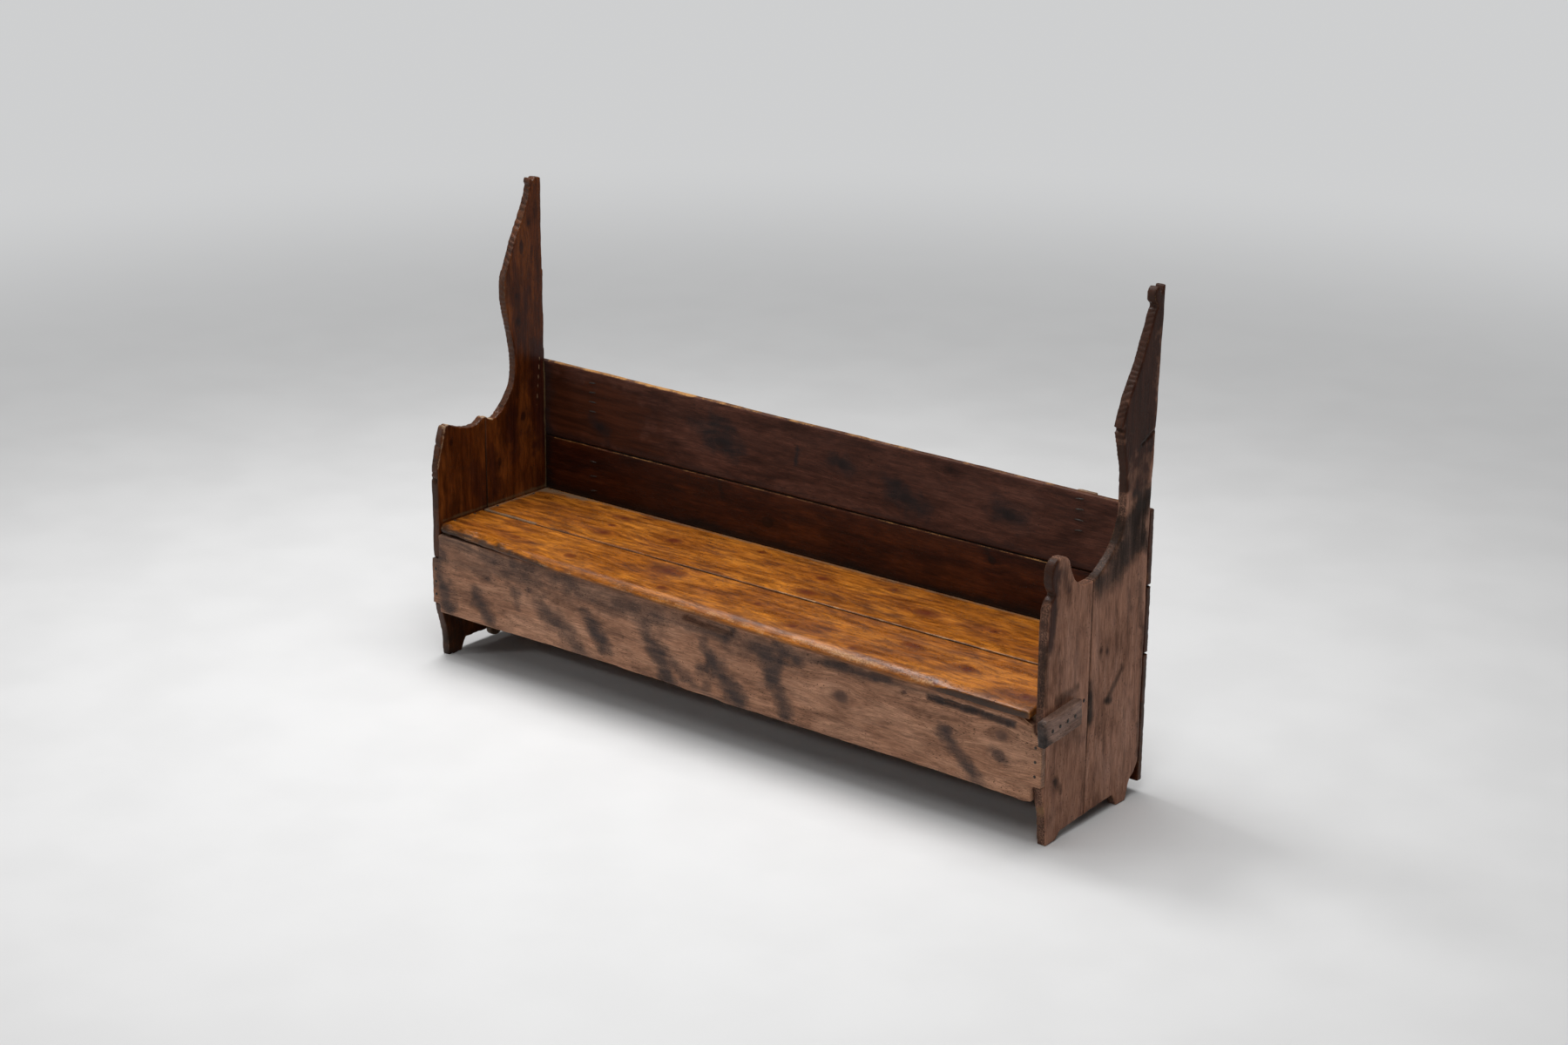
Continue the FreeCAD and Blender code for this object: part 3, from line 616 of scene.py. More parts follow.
def chips(*rows: tuple) -> list[Chip]:
    """Chips from rows of their two ends, radius and depth."""
    return [Chip(*row) for row in rows]


@dataclass(frozen=True)
class Scallops:
    """Knife and saw marks that notch a board's front edge between two heights."""

    low: float
    high: float
    pitch: float
    depth: float


@dataclass
class Board:
    """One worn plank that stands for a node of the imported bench."""

    node: str
    slot: str
    face: Face
    grain: Grain
    outline: list[Point]
    near: float
    far: float
    finish: WoodFinish
    seed: int
    cell: float = 4.0
    soften: int = 2
    edge_loss: float = 1.6
    edge_width: float = 6.0
    wave: float = 0.5
    wear: float = 1.0
    smooth_turns: int = 0
    knots: list[Knot] = field(default_factory=list)
    # Dark patches; on the apron some are painted shadow.
    stains: list[Stain] = field(default_factory=list)
    dirt: list[Stain] = field(default_factory=list)
    # Pale patches of wear; some are painted highlights.
    rubs: list[Stain] = field(default_factory=list)
    coats: list[Stain] = field(default_factory=list)
    # Spans along x whose front-facing faces are darkened and lose their wear.
    dark_fronts: list[Point] = field(default_factory=list)
    chips: list[Chip] = field(default_factory=list)
    scallops: list[Scallops] = field(default_factory=list)
    joints: list[tuple[Point, Point]] = field(default_factory=list)
    nose: float = 0.0
    warp: Callable[[np.ndarray], np.ndarray] | None = None

    def cut_blank(self) -> bpy.types.Object:
        """Draws the outline and pulls it out to the board's thickness.

        Returns:
            The board as it is sawn, before any wear.
        """
        first, second, third = self.face.value
        corners = rounded(self.outline, self.smooth_turns)
        bpy.ops.object.select_all(action="DESELECT")
        bpy.ops.mesh.primitive_circle_add(vertices=len(corners), fill_type="NGON")
        piece = bpy.context.object
        places = np.empty((len(corners), 3))
        places[:, first], places[:, second] = np.array(corners).T
        places[:, third] = self.near
        set_points(piece, places)
        pull = [0.0, 0.0, 0.0]
        pull[third] = (self.far - self.near) * MM
        bpy.ops.object.mode_set(mode="EDIT")
        bpy.ops.mesh.select_all(action="SELECT")
        bpy.ops.mesh.extrude_region_move(TRANSFORM_OT_translate={"value": pull})
        bpy.ops.mesh.select_all(action="SELECT")
        bpy.ops.mesh.normals_make_consistent(inside=False)
        if self.nose:
            self.round_nose(piece)
        bpy.ops.object.mode_set(mode="OBJECT")
        piece.name = self.node + "_aged"
        piece.data.name = piece.name
        return piece

    def round_nose(self, piece: bpy.types.Object) -> None:
        """Rounds the long front edges of a seat board while it is in edit mode."""
        bpy.ops.mesh.select_all(action="DESELECT")
        shape = bmesh.from_edit_mesh(piece.data)
        front = min(corner[1] for corner in self.outline)
        for edge in shape.edges:
            ends = [np.array(v.co) / MM + ORIGIN_MM for v in edge.verts]
            level = abs(ends[0][2] - ends[1][2]) < 0.1
            ahead = all(end[1] < front + 45 for end in ends)
            edge.select_set(level and ahead and abs(ends[0][0] - ends[1][0]) > 4)
        bmesh.update_edit_mesh(piece.data)
        bpy.ops.mesh.bevel(offset=self.nose * MM, segments=4, affect="EDGES")

    def age(self, piece: bpy.types.Object) -> None:
        """Wears the sawn board: rounds, waves, chips and notches it.

        Args:
            piece: The board from cut_blank.
        """
        apply_modifier(piece, "REMESH", mode="VOXEL", voxel_size=self.cell * MM)
        apply_modifier(piece, "SMOOTH", factor=0.5, iterations=self.soften)
        first, second, third = self.face.value
        points, normals = points_of(piece), normals_of(piece)
        flat = points[:, (first, second)]
        rim = from_outline(flat, rounded(self.outline, self.smooth_turns))
        skin = np.minimum(abs(points[:, third] - self.near), abs(points[:, third] - self.far))
        edge = np.exp(-np.maximum(rim, skin) / self.edge_width)
        along = [LUMP_ACROSS] * 3
        along[self.grain.value] = LUMP_ALONG
        gnaw = np.clip(noise(points, along, self.seed + Pattern.GNAWED, 3) * 0.9 + 0.35, 0, None)
        loss = edge * gnaw * self.edge_loss
        for begin, end in self.joints:
            loss *= fade(from_capsule(flat, begin, end), 3, 15) * 0.8 + 0.2
        planed = noise(points, [v * 7 for v in along], self.seed + Pattern.PLANED, 2)
        loss += (planed + 0.8) * self.wave * 0.5
        for mark in self.scallops:
            facing = np.clip(-normals[:, 1] * 1.6 - 0.4, 0, 1) * np.exp(-rim / 5)
            inside = fade(points[:, 2], mark.low, mark.low + 25)
            inside *= fade(points[:, 2], mark.high, mark.high - 25)
            wobble = noise(points, 40, self.seed + Pattern.NOTCHED) * mark.pitch * 0.8
            cut = abs(np.sin((points[:, 2] + wobble) * math.pi / mark.pitch))
            loss += (1 - cut) * facing * inside * mark.depth
        points -= normals * loss[:, None]
        ragged = noise(points, along, self.seed + Pattern.RAGGED, 2) * 0.35
        for chip in self.chips:
            reach = from_capsule(points, chip.start, chip.end) + ragged * chip.radius
            points -= normals * (fade(reach, chip.radius, chip.radius * 0.25) * chip.depth)[:, None]
        self.paint(piece, points, normals, edge, flat)
        if self.warp:
            points = self.warp(points)
        set_points(piece, points)
        alone(piece)
        bpy.ops.object.shade_smooth()

    def paint(self, piece: bpy.types.Object, points: np.ndarray, normals: np.ndarray,
              edge: np.ndarray, flat: np.ndarray) -> None:
        """Stores what the finish reads at each point: grain, knots, stains with some painted
        shadow, wear with some painted highlights, and dirt.

        Args:
            piece: The board.
            points: Its points before it warps.
            normals: Their outward directions.
            edge: 1 at the board's edges, 0 on its flats.
            flat: The points in the outline's plane.
        """
        grain, near_knot, tint = self.flow(points)
        rough = noise(points, 30, self.seed + Pattern.RUBBED, 2)
        tint *= np.clip(0.75 + rough * 0.5, 0, 1)
        worn = edge * self.wear * np.clip(0.75 + rough * 0.6, 0, 1)
        # Stains: real stains, dark joints and, on the apron, painted shadow under the seat's
        # nosing.
        stain_and_shade = self.spots(self.stains, flat)
        for begin, end in self.joints:
            beside = from_capsule(flat, begin, end)
            worn *= fade(beside, 5, 16)
            stain_and_shade = np.maximum(stain_and_shade, fade(beside, 4.5, 0.5) * 0.7)
        rim = fade(abs(normals[:, self.face.value[2]]), 0.75, 0.35)
        # The rubs add real wear and, in places, painted highlights and glints.
        rubbed = np.maximum(worn, self.spots(self.rubs, flat))
        # Faces turned to the front within the listed x spans are darkened through the stain layer
        # and lose their wear.
        for begin, end in self.dark_fronts:
            front = fade(-normals[:, 1], 0.5, 0.9)
            front *= fade(points[:, 0], begin, begin + 60) * fade(points[:, 0], end + 20, end - 20)
            stain_and_shade = np.maximum(stain_and_shade, front * 0.95)
            rubbed *= 1 - front
        layers = {"knot": near_knot, "tint": tint, "stain_and_shade": stain_and_shade, "rim": rim,
                  "wear": rubbed, "dirt": self.spots(self.dirt, flat),
                  "varnish": self.spots(self.coats, flat)}
        data = piece.data
        vector = data.attributes.new("grain", "FLOAT_VECTOR", "POINT")
        vector.data.foreach_set("vector", grain.astype(np.float32).ravel())
        for name, values in layers.items():
            layer = data.attributes.new(name, "FLOAT", "POINT")
            layer.data.foreach_set("value", values.astype(np.float32))

    def flow(self, points: np.ndarray) -> tuple[np.ndarray, np.ndarray, np.ndarray]:
        """Lets the grain run along the board and round its knots.

        Args:
            points: The board's points before it warps.

        Returns:
            The grain's own coordinates, the distance from the nearest knot in knot radii, and
            how strongly each point takes the knots' tint.
        """
        run, through = self.grain.value, self.face.value[2]
        cross = next(axis for axis in self.face.value[:2] if axis != run)
        u, v, w = points[:, run], points[:, cross].copy(), points[:, through]
        reach = np.full(3, WAVE_ACROSS)
        reach[run] = WAVE_ALONG
        v += noise(points, reach, self.seed + Pattern.FLOWING, 2) * GRAIN_WAVE
        near_knot = np.full(len(points), 9.0)
        tint = np.zeros(len(points))
        turned = self.face.value[0] != run
        for knot in self.knots:
            centre_u, centre_v = (knot.b, knot.a) if turned else (knot.a, knot.b)
            du, dv = (u - centre_u) / knot.radius, (points[:, cross] - centre_v) / knot.radius
            v -= dv * knot.radius * 0.8 * np.exp(-(du / 4.5) ** 2 - (dv / 2.6) ** 2)
            np.minimum(near_knot, np.hypot(du / knot.long, dv), out=near_knot)
            np.maximum(tint, np.exp(-(du / 3.2) ** 2 - (dv / 1.5) ** 2), out=tint)
        shift = self.seed * 731.0
        grain = np.stack((u + shift, v + shift * 0.37, w), axis=1) * MM
        return grain, near_knot, tint

    def spots(self, marks: Sequence[Stain], flat: np.ndarray) -> np.ndarray:
        """How strongly each point lies in any of some patches."""
        result = np.zeros(len(flat))
        wide = np.column_stack((flat, np.full(len(flat), self.seed * 3.0)))
        ragged = noise(wide, 26, self.seed + Pattern.SPOTTED, 3)
        for mark in marks:
            reach = from_capsule(flat, (mark.a, mark.b), (mark.to_a, mark.to_b)) / mark.width
            here = mark.strength * fade(reach + ragged * 0.45, 1.9, -0.1)
            result = 1 - (1 - result) * (1 - np.clip(here, 0, 1))
        return result

    def build(self, finishes: dict[str, bpy.types.Material]) -> bpy.types.Object:
        """Makes the board, dresses it and puts it in its node's place.

        Args:
            finishes: The built materials by finish name.

        Returns:
            The finished board.
        """
        piece = self.cut_blank()
        self.age(piece)
        piece.data.materials.append(finishes[self.finish.name])
        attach(piece, "root")
        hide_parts(self.node)
        LOG.info("%s: %d faces", piece.name, len(piece.data.polygons))
        return piece


# ---------------------------------------------------------------- finishes

# The seat's worn colour also paints highlights along its nosing and edges.
SEAT = WoodFinish("seat_varnish", dark=(0.130, 0.034, 0.004), middle=(0.285, 0.092, 0.0085),
                  light=(0.47, 0.172, 0.018), knot=(0.085, 0.012, 0.003),
                  stain_and_shade=(0.030, 0.013, 0.006), worn=(0.60, 0.34, 0.16), dirt=(0.16, 0.105, 0.062),
                  rim=(0.20, 0.075, 0.018), glossy=0.26, matt=0.46, specular=0.3, relief=0.0008,
                  mottle=0.85, pores=0.75, blotch=0.75)
BACK = WoodFinish("back_varnish", dark=(0.012, 0.0032, 0.0015), middle=(0.040, 0.0088, 0.003),
                  light=(0.092, 0.023, 0.006), knot=(0.014, 0.005, 0.003),
                  stain_and_shade=(0.008, 0.005, 0.004), worn=(0.50, 0.25, 0.08), dirt=(0.10, 0.06, 0.03),
                  rim=(0.10, 0.04, 0.015), glossy=0.32, matt=0.5, specular=0.15, mottle=0.5)
BACK_DUSTY = replace(BACK, name="back_varnish_dusty", dark=(0.026, 0.009, 0.006),
                     middle=(0.076, 0.028, 0.018), light=(0.125, 0.052, 0.036), glossy=0.42,
                     matt=0.6, ring_depth=0.25, stain_and_shade=(0.016, 0.014, 0.015),
                     varnish=(0.030, 0.008, 0.003))
# Its worn colour also paints glints on the left front board's broken top.
END_INNER = WoodFinish("end_varnish_warm", dark=(0.024, 0.005, 0.0015),
                       middle=(0.085, 0.021, 0.004), light=(0.19, 0.056, 0.011),
                       knot=(0.014, 0.004, 0.003), stain_and_shade=(0.018, 0.009, 0.005),
                       worn=(0.42, 0.28, 0.17), dirt=(0.14, 0.10, 0.05),
                       rim=(0.070, 0.042, 0.030), glossy=0.3, matt=0.5, specular=0.14,
                       rim_share=0.75, varnish=(0.020, 0.005, 0.003), mottle=0.6, rim_gloss=0.3)
END_OUTER = WoodFinish("end_varnish_dusty", dark=(0.115, 0.055, 0.037),
                       middle=(0.37, 0.188, 0.124), light=(0.50, 0.275, 0.195),
                       knot=(0.045, 0.022, 0.015), stain_and_shade=(0.026, 0.016, 0.012),
                       worn=(0.36, 0.20, 0.08), dirt=(0.06, 0.05, 0.045),
                       rim=(0.045, 0.027, 0.021), glossy=0.34, matt=0.7, specular=0.06,
                       rim_share=0.9, varnish=(0.020, 0.0055, 0.003), pores=0.75, rim_gloss=0.3,
                       mottle=0.35)
# The apron's stain colour also paints the shadow under the seat's nosing.
APRON = WoodFinish("apron_dusty", dark=(0.130, 0.070, 0.049), middle=(0.375, 0.194, 0.118),
                   light=(0.52, 0.295, 0.192), knot=(0.070, 0.040, 0.032),
                   stain_and_shade=(0.045, 0.034, 0.032), worn=(0.48, 0.29, 0.16), dirt=(0.10, 0.072, 0.06),
                   rim=(0.12, 0.085, 0.07), glossy=0.5, matt=0.75, specular=0.14, mottle=0.45,
                   pores=0.85)
CLEAT = WoodFinish("cleat_grey", dark=(0.09, 0.052, 0.040), middle=(0.25, 0.145, 0.108),
                   light=(0.36, 0.235, 0.19), knot=(0.05, 0.03, 0.025),
                   stain_and_shade=(0.028, 0.022, 0.02), worn=(0.36, 0.26, 0.21), dirt=(0.06, 0.05, 0.045),
                   rim=(0.10, 0.065, 0.05), glossy=0.5, matt=0.72, specular=0.22)
INNER = WoodFinish("inner_bare", dark=(0.09, 0.05, 0.03), middle=(0.24, 0.15, 0.09),
                   light=(0.36, 0.24, 0.15), knot=(0.08, 0.04, 0.025), stain_and_shade=(0.06, 0.04, 0.03),
                   worn=(0.42, 0.3, 0.2), dirt=(0.16, 0.13, 0.1), rim=(0.2, 0.14, 0.1),
                   glossy=0.6, matt=0.8, specular=0.25)
IRON = IronFinish("forged_iron_dark", (0.016, 0.012, 0.010), (0.06, 0.05, 0.042),
                  (0.04, 0.018, 0.011))


# ---------------------------------------------------------------- sub-assemblies


@dataclass
class EndBoards:
    """The four upright boards of the two ends."""

    thick: float = 28.0
    length: float = 2200.0
    joint: float = 210.0
    foot: list[Point] = field(default_factory=lambda: [
        (29, 0), (25, 57), (21, 87), (13, 117), (5, 147), (0, 175), (14, 175), (14, 318.5),
        (0, 318.5)])
    heel: list[Point] = field(default_factory=lambda: [
        (476, 870), (476.5, 500), (476, 300), (476, 96), (462, 82), (455, 64), (440, 56),
        (430, 38), (424, 20), (417, 0), (371, 0), (360, 22), (351, 37)])

    def left_front(self) -> list[Point]:
        """Outline of the left front board, whose head is broken off."""
        return [*self.foot, (0, 480), (0, 598), (5, 622), (12, 652), (21, 688), (31, 712),
                (38, 724), (48, 726), (57, 726), (66, 721), (76, 717), (84, 713), (95, 711),
                (104, 705), (120, 704), (128, 699), (137, 700), (150, 697), (163, 700), (171, 697),
                (180, 704), (190, 706), (196, 713), (205, 716), (210, 717),
                (210, 37.6), (106, 38), (95, 22), (84, 0)]

    def left_rear(self) -> list[Point]:
        """Outline of the left rear board with its horn."""
        return [(210, 712), (214, 716), (219, 709), (226, 705), (238, 702), (254, 701), (262, 706),
                (275, 716), (287, 727), (297, 736), (310, 751), (321, 768), (331, 782), (337, 797),
                (341, 818), (343, 845), (343, 872), (340, 897), (335, 920), (331, 940), (323, 970),
                (316, 1004), (309, 1040), (305, 1060), (304, 1085), (307, 1122), (318, 1148),
                (330, 1177), (344, 1210), (358, 1241), (376, 1272), (394, 1307), (409, 1338),
                (418, 1364), (421, 1380), (427, 1387), (421, 1393), (421, 1405), (426, 1412),
                (431, 1409), (436, 1399), (442, 1403), (447, 1410), (460, 1409), (471, 1406),
                (471, 1340), (474, 960), *self.heel, (210, 37.6)]

    def right_front(self) -> list[Point]:
        """Outline of the right front board with its round head."""
        return [*self.foot, (0, 480), (2, 640), (5, 661), (9, 676), (15, 686), (24, 691),
                (31, 695), (29, 702), (22, 710), (16, 722), (13, 738), (12, 752), (15, 768),
                (22, 781), (33, 790), (47, 794), (61, 794), (74, 791), (86, 785), (95, 776),
                (101, 763), (105, 748), (112, 733), (121, 718), (134, 705), (152, 696), (170, 691),
                (190, 689.5), (210, 691), (210, 28), (98, 20), (88, 12), (74, 0)]

    def right_rear(self) -> list[Point]:
        """Outline of the right rear board with its knobbed horn."""
        return [(210, 691), (226, 694), (242, 700), (262, 712), (282, 727), (298, 740), (314, 756),
                (328, 772), (340, 790), (348, 808), (352, 830), (353, 860), (352, 905), (350, 930),
                (346, 958), (340, 985), (332, 1015), (325, 1045), (318, 1059), (327, 1063),
                (326, 1070), (315, 1074), (317, 1084), (325, 1099), (333, 1122), (343, 1145),
                (356, 1165), (370, 1187), (385, 1211),
                (399, 1234), (410, 1260), (420, 1283), (430, 1304), (439, 1323), (447, 1343),
                (454, 1358), (463, 1367), (462, 1374), (452, 1381), (448, 1391), (447, 1402),
                (450, 1411), (456, 1418), (463, 1422), (469, 1421), (473, 1412), (479, 1400),
                (484, 1409), (488, 1419), (493, 1423), (499, 1421),
                (494, 1290), (486, 1080), (476, 822), *self.heel, (210, 28)]

    def bites(self, path: Sequence[Point], middle: float, count: int, size: float,
              seed: int) -> list[Chip]:
        """Small bites out of a board's edge at random places.

        Args:
            path: The run of the edge in the end's plane.
            middle: The middle of the board's thickness.
            count: How many bites.
            size: The largest one's radius.
            seed: Which random places.

        Returns:
            The bites.
        """
        draw = np.random.default_rng(seed)
        made = []
        for _ in range(count):
            spot = int(draw.integers(len(path) - 1))
            share = draw.uniform()
            y, z = (path[spot][i] * (1 - share) + path[spot + 1][i] * share for i in (0, 1))
            start, end = (middle + draw.uniform(-1, 1) * self.thick / 2 for _ in (0, 1))
            radius = size * draw.uniform(0.45, 1)
            slant = draw.uniform(-6, 6)
            made.append(Chip((start, y, z), (end, y, z + slant), radius, radius * 0.6))
        return made

    def boards(self) -> list[Board]:
        """The four boards with their marks.

        Returns:
            The left boards, then the right ones.
        """
        far = self.length
        common = dict(slot="end_wood", face=Face.SIDE, grain=Grain.UPRIGHT, cell=3.2,
                      smooth_turns=1, wear=0.35)
        left = dict(common, near=0.0, far=self.thick, finish=END_INNER)
        right = dict(common, near=far - self.thick, far=far, finish=END_OUTER)
        return [
            Board("left_front_board", outline=self.left_front(), seed=3, edge_loss=2.6, **left,
                  joints=[((210, 38), (210, 700))], dirt=stains((20, 434, 205, 434, 5, 0.5)),
                  # The rubs along the broken top are pale flecks that stand for glints: painted
                  # highlights.
                  rubs=stains((52, 728, 208, 716, 4, 0.7), (4, 600, 40, 724, 4, 0.55)),
                  knots=knots((62, 668, 7)), coats=stains((150, 560, 200, 440, 40, 0.6)),
                  stains=stains((60, 0, 70, 130, 55, 0.8), (-2, 480, -2, 720, 8, 0.5)),
                  chips=self.bites([(2, 560), (12, 652), (48, 726), (95, 711), (205, 716)],
                                   14, 26, 9, 1)),
            Board("left_rear_board", outline=self.left_rear(), seed=4, edge_loss=2.2, **left,
                  joints=[((210, 38), (210, 700))],
                  scallops=[Scallops(1140, 1400, 19, 4.0), Scallops(700, 1140, 15, 1.6)],
                  knots=knots((382, 1205, 8, 2.4), (362, 980, 9), (357, 1060, 7), (375, 679, 10),
                              (415, 1275, 6), (268, 560, 7, 2.0)),
                  dirt=stains((473, 430, 473, 830, 4, 0.8), (215, 434, 470, 434, 6, 0.5)),
                  rubs=stains((452, 850, 436, 700, 0.8, 0.8), (212, 716, 240, 702, 5, 0.7)),
                  coats=stains((470, 600, 460, 840, 60, 0.8), (330, 700, 340, 560, 30, 0.6),
                               (400, 1060, 380, 920, 26, 0.4), (230, 600, 250, 470, 24, 0.5)),
                  stains=stains((300, 0, 460, 60, 60, 0.6)),
                  chips=self.bites([(214, 716), (238, 702), (262, 706), (297, 736)], 14, 12, 8, 2)),
            Board("right_front_board", outline=self.right_front(), seed=5, edge_loss=1.8, **right,
                  joints=[((210, 28), (210, 680))], knots=knots((64, 170, 8)),
                  stains=stains((0, 560, 4, 400, 12, 0.6), (60, 400, 150, 410, 14, 0.6),
                                (120, 300, 180, 250, 26, 0.4), (60, 175, 90, 140, 12, 0.6),
                                (20, 60, 90, 90, 26, 0.4)),
                  coats=stains((24, 780, 16, 560, 22, 0.85), (60, 790, 90, 700, 18, 0.4)),
                  rubs=stains((14, 124, 22, 60, 3, 0.5))),
            Board("right_rear_board", outline=self.right_rear(), seed=6, edge_loss=2.0, **right,
                  scallops=[Scallops(1080, 1380, 15, 1.6)], joints=[((210, 28), (210, 680))],
                  coats=stains((470, 1420, 400, 1100, 90, 1.0), (400, 1080, 420, 1040, 60, 0.95),
                               (400, 1010, 410, 900, 60, 0.72), (350, 900, 345, 1050, 12, 0.8)),
                  stains=stains((230, 705, 330, 790, 30, 1.0), (340, 800, 470, 850, 38, 0.95),
                                (250, 660, 450, 740, 40, 0.8), (380, 800, 460, 720, 26, 0.85),
                                (350, 730, 430, 840, 50, 1.0), (214, 400, 218, 300, 16, 0.9),
                                (440, 620, 452, 500, 12, 0.5), (300, 330, 370, 400, 12, 0.7),
                                (290, 330, 320, 322, 10, 0.8), (470, 480, 470, 120, 12, 0.6),
                                (382, 620, 400, 560, 12, 0.5), (479, 1034, 393, 995, 2.5, 0.9),
                                (441, 1026, 417, 1008, 7, 0.95)),
                  knots=knots((214, 360, 12), (216, 312, 11), (260, 480, 7), (290, 470, 7)),
                  chips=chips(((2200, 479, 1034), (2200, 417, 1008), 6, 3))),
        ]


@dataclass
class FrontApron:
    """The deep board across the front and the wedge let in at its corner."""

    front: float = -8.0
    thick: float = 22.0

    def boards(self) -> list[Board]:
        """The apron and its corner wedge.

        Returns:
            Both boards.
        """
        outline = [(0, 175), (0, 318), (28, 318), (28, 396), (240, 396), (475, 395.8), (900, 389),
                   (1300, 382), (1700, 375), (2123.2, 367.6), (2123.2, 364.9), (2172, 341.9),
                   (2172, 318), (2200, 318), (2200, 175), (2172, 175), (2172, 131), (2158, 128),
                   (2143, 127), (2120, 128), (2044, 131), (1960, 134), (1847, 136), (1700, 137),
                   (1538, 138), (1350, 138), (1250, 140), (1169, 139), (1120, 141), (1065, 144),
                   (929, 146), (715, 150), (500, 151), (300, 149.5), (28, 149), (28, 175)]
        wedge = [(2123.4, 364.9), (2124.5, 367.3), (2171.6, 345.5), (2171.8, 342.2)]
        rear = self.front + self.thick
        return [
            Board("front_apron", "apron_wood", Face.FRONT, Grain.LENGTHWISE, outline, self.front,
                  rear, APRON, 11, cell=4.4, edge_loss=2.0, wave=0.7, wear=0.6,
                  knots=knots((1550, 267, 15), (1905, 264, 11), (2076, 293, 12), (2070, 235, 13),
                              (234, 303, 8), (400, 305, 8), (1761, 334, 5), (1663, 346, 5)),
                  stains=stains((20, 330, 60, 170, 36, 0.85), (179, 250, 237, 178, 26, 0.75),
                                (340, 288, 349, 247, 18, 0.65), (455, 262, 597, 168, 34, 0.75),
                                (632, 276, 682, 219, 30, 0.8), (660, 240, 700, 190, 22, 0.65),
                                (855, 272, 950, 150, 30, 0.8), (905, 250, 1030, 170, 22, 0.65),
                                (1070, 290, 1130, 220, 24, 0.7), (1110, 240, 1205, 148, 32, 0.8),
                                (1058, 222, 1085, 146, 22, 0.65), (1290, 320, 1310, 270, 38, 0.7),
                                (1308, 282, 1362, 165, 28, 0.8), (1169, 195, 1201, 145, 28, 0.75),
                                (1890, 260, 1990, 157, 24, 0.75), (1985, 160, 2010, 136, 28, 0.6),
                                (2050, 250, 2085, 225, 18, 0.6), (1840, 337, 2110, 334, 9, 1.0),
                                (1345, 352, 1400, 330, 18, 0.8), (1330, 300, 1345, 340, 16, 0.6),
                                # The three long bands along the apron's top, from x 28 to 1700, are
                                # painted shadow under the seat's overhanging nosing.
                                (28, 385, 560, 372, 28, 0.6), (560, 366, 1160, 350, 34, 0.6),
                                (1160, 352, 1700, 355, 18, 0.5), (60, 335, 420, 330, 34, 0.4),
                                (300, 345, 900, 320, 30, 0.4), (1500, 350, 1860, 350, 10, 0.45),
                                (1835, 347, 2120, 340, 2.2, 1.0), (1160, 300, 1300, 330, 34, 0.4)),
                  chips=chips(((1005, -9, 370), (1150, -9, 360), 18, 11),
                              ((1158, -9, 366), (1166, -9, 356), 9, 9),
                              ((1845, -9, 340), (1880, -9, 342), 12, 5),
                              ((1900, -9, 343), (1940, -9, 342), 11, 6),
                              ((1960, -9, 343), (2010, -9, 342), 12, 6),
                              ((2030, -9, 340), (2100, -9, 337), 10, 5))),
            Board("apron_corner_filler", "apron_wood", Face.FRONT, Grain.LENGTHWISE, wedge,
                  self.front, rear, APRON, 12, cell=1.6, soften=1, edge_loss=0.3, edge_width=2.0,
                  wave=0.1),
        ]


